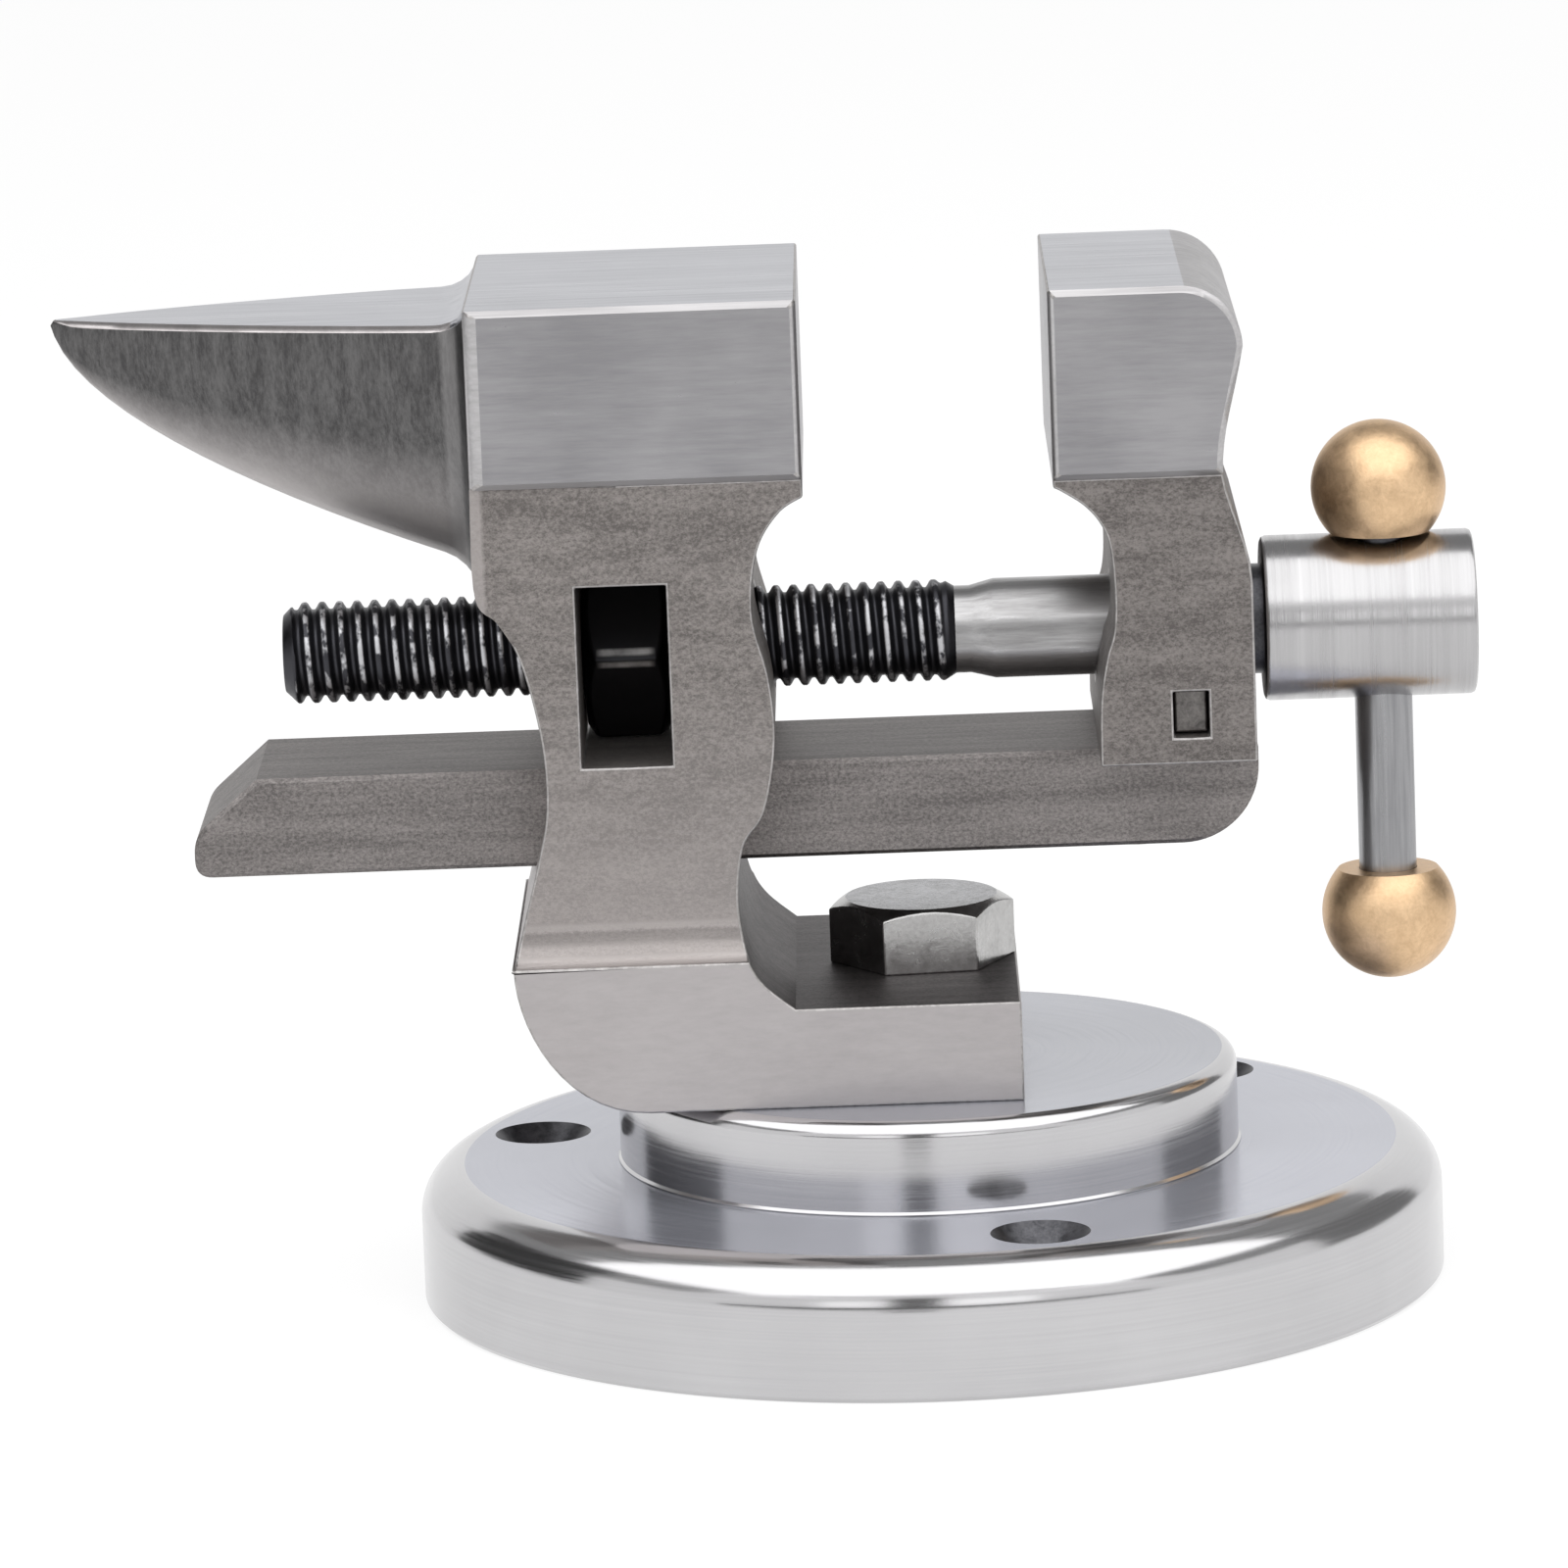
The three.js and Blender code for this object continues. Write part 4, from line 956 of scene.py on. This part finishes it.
def nut_painted_highlight_steel():
    """Dark steel with two painted highlights along the nut's front edge."""
    finish = Finish("nut_painted_highlight_steel", (0.05, 0.05, 0.055), 0.3)
    smudge = finish.noise((0.7, 0.7, 0.7), 3, 0.6)
    from_edge = finish.distance(finish.place_along("Z"), nut_z)
    from_line = finish.distance(from_edge, NUT_LINE_OFFSET)
    line = finish.between(from_line, 1, 0, *NUT_LINE_WIDTH)
    line = finish.math("MULTIPLY", line, finish.between(smudge, 0.4, 1))
    aside = finish.distance(finish.place_along("X"), nut_x)
    line = finish.math("MULTIPLY", line, finish.between(aside, 1, 0, *NUT_LINE_REACH))
    finish.colour_from(finish.blend(line, (0.03, 0.03, 0.033), (0.75, 0.75, 0.75)))
    finish.relief(smudge, 0.004)
    return finish


nut_steel = nut_painted_highlight_steel()

# %% [markdown]
# ## Which face gets which finish
# The body is one piece of steel with nine finishes. They could be given face by face in edit mode.
# Instead a few comparisons on each face's middle and normal sort them all, so the sorting still
# holds when the solid changes.

# %% Helpers for sorting faces
FLAT = 0.99
DISC_FLAT = 0.995


def faces_of(piece):
    """The middles in millimetres and the normals of all faces, as two arrays."""
    count = len(piece.data.polygons)
    middle, normal = np.zeros(count * 3), np.zeros(count * 3)
    piece.data.polygons.foreach_get("center", middle)
    piece.data.polygons.foreach_get("normal", normal)
    return middle.reshape(-1, 3) / MM, normal.reshape(-1, 3)


def is_tilted(normal):
    """True for faces that look between two axes: a normal's largest part is under 0.99."""
    largest = np.abs(normal).max(axis=1)
    return (largest < FLAT) & (largest > 0.5)


def slot_of(piece, finish):
    """The finish's number among the piece's materials, to which it is added if it is new."""
    materials, name = piece.data.materials, finish.material.name
    if materials.find(name) < 0:
        materials.append(finish.material)
    return materials.find(name)


def wear(piece, finish, *rules, edge=None):
    """Gives all faces the first finish and then follows the rules.

    A rule is a finish and its faces, and a later one overrules an earlier one. The broken edges
    take the edge's finish.
    """
    piece.data.materials.clear()
    number = np.full(len(piece.data.polygons), slot_of(piece, finish), np.int32)
    for other, faces in rules:
        number[faces] = slot_of(piece, other)
    piece.data.polygons.foreach_set("material_index", number)
    if edge:
        piece.modifiers["edge break"].material = slot_of(piece, edge)
    print(piece.name, "faces by finish:", np.bincount(number))


# %% [markdown]
# Faces above the block's underside are the jaw's, those behind its back are the horn's, and the low
# ones are the foot's, with a sandy top and flank darkened as painted shade under the bar. What is
# left is the column.

# %% Sort the faces of the body
BLOCK_BOTTOM_Z = 48.8
BLOCK_BACK_X = -24.45
HORN_ABOVE_Z = 40
SHOULDER_Z = 22.2
FLANK_BELOW_Z = 27
HEEL_ABOVE_Z = 17
HOLLOW_FROM_Y = 11.61

middle, normal = faces_of(vise_body)
height = middle[:, 2]
is_block = height > BLOCK_BOTTOM_Z
is_horn = (middle[:, 0] < BLOCK_BACK_X - 0.01) & (height > HORN_ABOVE_Z)
is_top = normal[:, 2] > FLAT
horn_top_z = height[is_horn & is_top].mean()
is_root_ramp = is_horn & (height > horn_top_z + 0.02)
is_foot = height < SHOULDER_Z
is_foot_top = is_foot & is_top
foot_top_z = height[is_foot_top].mean()
is_foot_flank = (normal[:, 0] > 0.2) & (height > foot_top_z + 0.05) & (height < FLANK_BELOW_Z)
in_hollow = (height > HOLLOW_LOW_Z) & (height < HOLLOW_HIGH_Z)
in_hollow &= np.abs(middle[:, 1]) > HOLLOW_FROM_Y
is_heel = (normal[:, 0] < -0.5) & (height > HEEL_ABOVE_Z) & (height < FLANK_BELOW_Z)
is_horn_edge = is_horn & (normal[:, 2] > 0.25) & ~is_top & ~is_root_ramp

# Every broken edge of the body takes a painted highlight.
wear(
    vise_body, column_steel, (ground_steel, is_block),
    (chamfer_painted_highlight_steel, is_block & is_tilted(normal)), (horn_steel, is_horn),
    (painted_light_top_steel, ((is_block | is_horn) & is_top) | is_root_ramp), (satin_steel, is_foot),
    (sandy_painted_shade_steel, is_foot_top | is_foot_flank), (column_steel, in_hollow),
    (satin_steel, is_heel), (horn_edge_painted_highlight, is_horn_edge), edge=painted_edge_highlight,
)

# %% [markdown]
# The moving jaw is a grained leg below and a ground block above. The bar, the key and the small
# screws have one finish each, and every broken edge of jaw and bar gets a painted highlight.

# %% Sort the faces of the jaw and its bar
MOVING_BLOCK_BOTTOM_Z = 48.2

middle, normal = faces_of(moving_jaw)
wear(
    moving_jaw, ground_steel, (chamfer_painted_highlight_steel, is_tilted(normal)), (painted_light_top_steel, normal[:, 2] > FLAT),
    (leg_steel, middle[:, 2] < MOVING_BLOCK_BOTTOM_Z), edge=painted_edge_highlight,
)
wear(slide_bar, bar_steel, edge=painted_edge_highlight)
wear(key, key_steel)
for bar_screw in bar_screws:
    wear(bar_screw, dark_steel)

# %% [markdown]
# On the turned pieces the flat tops are painted duller and bluer than the rims, a painted reflection
# of the light from above, and the screw holes are painted dark as painted shade. The screw has a
# neck painted dark as painted shade, and a drawn shank on the far side of the jaw's back.

# %% Sort the faces of the turned pieces
HOLE_RIM = 0.15

middle, normal = faces_of(base_plate)
from_hole = np.linalg.norm(middle[:, None, :2] - hole_places[None], axis=2).min(axis=1)
in_hole = from_hole < COUNTERSINK_RADIUS + HOLE_RIM
is_top = normal[:, 2] > DISC_FLAT
# The holes' faces take dark steel: painted shade in the recesses.
wear(base_plate, polished_steel, (polished_top_painted_light, is_top), (dark_steel, in_hole))
wear(disc, polished_steel, (disc_top_painted_light, faces_of(disc)[1][:, 2] > DISC_FLAT))
is_top = faces_of(pivot_bolt)[1][:, 2] > FLAT
wear(pivot_bolt, bolt_steel, (bolt_top_steel, is_top), edge=bolt_steel)
wear(lead_nut, nut_steel)
wear(thread, thread_steel)
x = faces_of(shank)[0][:, 0]
# The screw's neck takes dark steel: painted shade between the jaw and the head.
wear(shank, turned_steel, (dark_steel, x < head_start + 0.05), (shank_steel, x <= jaw_back - 1))
# The rod's end under the upper ball takes dark steel: painted shade.
in_rod_painted_shade = faces_of(handle_rod)[0][:, 2] > rod_painted_shade_z
wear(handle_rod, rod_steel, (dark_steel, in_rod_painted_shade))
for end in ("upper", "lower"):
    wear(bpy.data.objects[f"brass_ball_{end}"], brass)

# %% [markdown]
# ## Floor, light and camera
# The vise stands on a large white sheet in a white room. Metal mostly shows the room round it. A
# ready-made room picture could light it too, but a few plain sheets are easier to move.

# %% Lay the floor
FLOOR_REACH = 3000


def sheet_of_paper(name, corners, colour, glow=0.0):
    """A flat four-sided sheet, matt or evenly glowing, which isn't part of the vise."""
    mesh = bpy.data.meshes.new(name)
    mesh.from_pydata((np.array(corners, float) * MM).tolist(), [], [(0, 1, 2, 3)])
    sheet = add_object(name, mesh)
    material = bpy.data.materials.new(name)
    material.use_nodes = True
    shader = material.node_tree.nodes["Principled BSDF"]
    set_inputs(shader, Base_Color=(*colour, 1), Roughness=0.9, Specular_IOR_Level=0.1)
    set_inputs(shader, Emission_Color=(1, 1, 1, 1), Emission_Strength=glow)
    mesh.materials.append(material)
    return sheet


def level_sheet(start, end, height):
    """The four corners of a level sheet between two corners given by x and y."""
    return [(*start, height), (end[0], start[1], height), (*end, height), (start[0], end[1], height)]


floor_corners = level_sheet((-FLOOR_REACH, -FLOOR_REACH), (FLOOR_REACH, FLOOR_REACH), 0)
floor = sheet_of_paper("floor", floor_corners, (0.9, 0.9, 0.9))
print("floor laid, reaching", FLOOR_REACH, "mm")

# %% [markdown]
# The room is plain white. Where the camera or a reflection sees it, it has a strength of 1, which
# is white in the picture, and a little less for all other light, so that pale steel doesn't clip.
# Light Path tells the two apart.

# %% Paint the room
ROOM_LIGHT = 0.9
ROOM_SEEN = 1.0

scene = bpy.context.scene
scene.view_settings.view_transform = "Standard"
scene.world = bpy.data.worlds.new("studio")
room = NodeWeb(scene.world)
background = room.tree.nodes["Background"]
set_inputs(background, Color=(1, 1, 1, 1))


def seen_directly(web):
    """1 for rays from the camera, a mirror or a glass, and 0 for all others."""
    path = web.add("ShaderNodeLightPath").outputs
    seen = web.math("MAXIMUM", path["Is Camera Ray"], path["Is Glossy Ray"])
    return web.math("MAXIMUM", seen, path["Is Transmission Ray"])


strength = room.between(seen_directly(room), ROOM_LIGHT, ROOM_SEEN, 0, 1)
room.link(strength, background.inputs["Strength"])
print("room painted, light", ROOM_LIGHT, "seen", ROOM_SEEN)

# %% [markdown]
# The floor has to look as white as the room and still keep the vise's shadow. More light would
# burn out the steel. So its material takes its own shading, mixes white into it, and shows that to
# the camera and to reflections only.

# %% Whiten the floor
WHITE_SHARE = 0.8

paper = NodeWeb(floor.data.materials[0])
shader, output = (paper.tree.nodes[name] for name in ("Principled BSDF", "Material Output"))
glow = paper.add("ShaderNodeEmission")
set_inputs(glow, Color=(1, 1, 1, 1))
mixed = paper.add("ShaderNodeMixShader")
share = paper.math("MULTIPLY", seen_directly(paper), WHITE_SHARE)
for value, socket in zip((share, shader.outputs["BSDF"], glow.outputs["Emission"]), mixed.inputs):
    paper.link(value, socket)
paper.link(mixed.outputs["Shader"], output.inputs["Surface"])
print("floor whitened by", WHITE_SHARE)

# %% [markdown]
# ### The softbox
# One large softbox hangs over the vise, a little towards the camera. Several small lamps would give
# many hard spots in the polished rims, and one broad lamp gives the single long highlight.

# %% Hang the softbox
SOFTBOX_HEIGHT = 500

lamp = bpy.data.lights.new("softbox", "AREA")
lamp.shape = "RECTANGLE"
lamp.size, lamp.size_y = 1.4, 0.86
lamp.energy = 6.4
softbox = add_object("softbox", lamp)
softbox.location = (0, -0.345, SOFTBOX_HEIGHT * MM)
print("softbox at height", SOFTBOX_HEIGHT)

# %% [markdown]
# ### The cards
# A white room gives a bright flat metal, so grey cards stand round the object, as in a real studio:
# a ceiling over the softbox, and in front, by the camera, a low dark shelf, the tripod with its
# shadow on the floor and a bright window behind. A dark card stands on either side. They put the
# bands into the polished rims that tell the eye it looks at metal.

# %% Stand the cards
CEILING_Z = SOFTBOX_HEIGHT + 40
SHELF_Y = -640
TRIPOD_Y = SHELF_Y + 5
WINDOW_Y = SHELF_Y - 1
SIDE_X = 800
SIDE_HEIGHTS = (40, 535)


def studio_card(name, glow, corners):
    """A sheet of an even glow, 0 for black and 1 for white, that only reflections see."""
    card = sheet_of_paper(name, corners, (0, 0, 0), glow)
    card.visible_camera = False
    card.visible_diffuse = False
    card.visible_shadow = False


def upright_card(name, glow, start, end, low, high):
    """A card that stands on the line from start to end, between two heights."""
    studio_card(name, glow, [(*start, low), (*end, low), (*end, high), (*start, high)])


studio_card("ceiling_card", 0.3, level_sheet((-1300, -780), (1300, 760), CEILING_Z))
upright_card("shelf_card", 0.1, (-700, SHELF_Y), (700, SHELF_Y), 0, 55)
upright_card("tripod_card", 0.05, (-115, TRIPOD_Y), (15, TRIPOD_Y), 0, 300)
upright_card("window_card", 1.6, (-300, WINDOW_Y), (260, WINDOW_Y), 60, 220)
studio_card("tripod_foot", 0.1, [(-11, -68, 0.5), (0, -68, 0.5), (0, -115, 0.5), (-18, -115, 0.5)])
upright_card("side_card_left", 0.02, (-SIDE_X, -94), (-SIDE_X, 700), *SIDE_HEIGHTS)
upright_card("side_card_right", 0.2, (SIDE_X, 70), (SIDE_X, 880), *SIDE_HEIGHTS)
print("cards ready")

# %% [markdown]
# ### The camera
# The photograph was taken from half a metre with a long lens, with the camera rolled by two degrees.
# A tracking constraint can't roll a camera, so its three axes, the columns of its matrix, are worked
# out from the angles.

# %% Place the camera
VIEW_DISTANCE = 545
VIEW_AZIMUTH = math.radians(0.65)
VIEW_ELEVATION = math.radians(10.96)
VIEW_ROLL = math.radians(2.20)
VIEW_TARGET = np.array((-7.63, 0, 29.24))

back = np.array([
    math.sin(VIEW_AZIMUTH) * math.cos(VIEW_ELEVATION),
    -math.cos(VIEW_AZIMUTH) * math.cos(VIEW_ELEVATION),
    math.sin(VIEW_ELEVATION),
])
sideways = np.array([math.cos(VIEW_AZIMUTH), math.sin(VIEW_AZIMUTH), 0])
upright = np.cross(back, sideways)
image_right = math.cos(VIEW_ROLL) * sideways - math.sin(VIEW_ROLL) * upright
image_up = math.sin(VIEW_ROLL) * sideways + math.cos(VIEW_ROLL) * upright
camera_data = bpy.data.cameras.new("camera")
camera_data.lens, camera_data.sensor_width = 217.9, 36
camera_data.clip_start, camera_data.clip_end = 0.02, 20
camera = add_object("camera", camera_data)
pose = np.eye(4)
pose[:3, 0], pose[:3, 1], pose[:3, 2] = image_right, image_up, back
pose[:3, 3] = (VIEW_TARGET + VIEW_DISTANCE * back) * MM
camera.matrix_world = Matrix(pose.tolist())
scene.camera = camera
print("camera at mm:", np.round(pose[:3, 3] / MM, 1))

# %% [markdown]
# ## The last update
# A dressed piece must not outgrow the solid it stands for, or the vise would no longer fit its
# place. At the end the scene is brought up to date.

# %% Update the scene
bpy.context.view_layer.update()
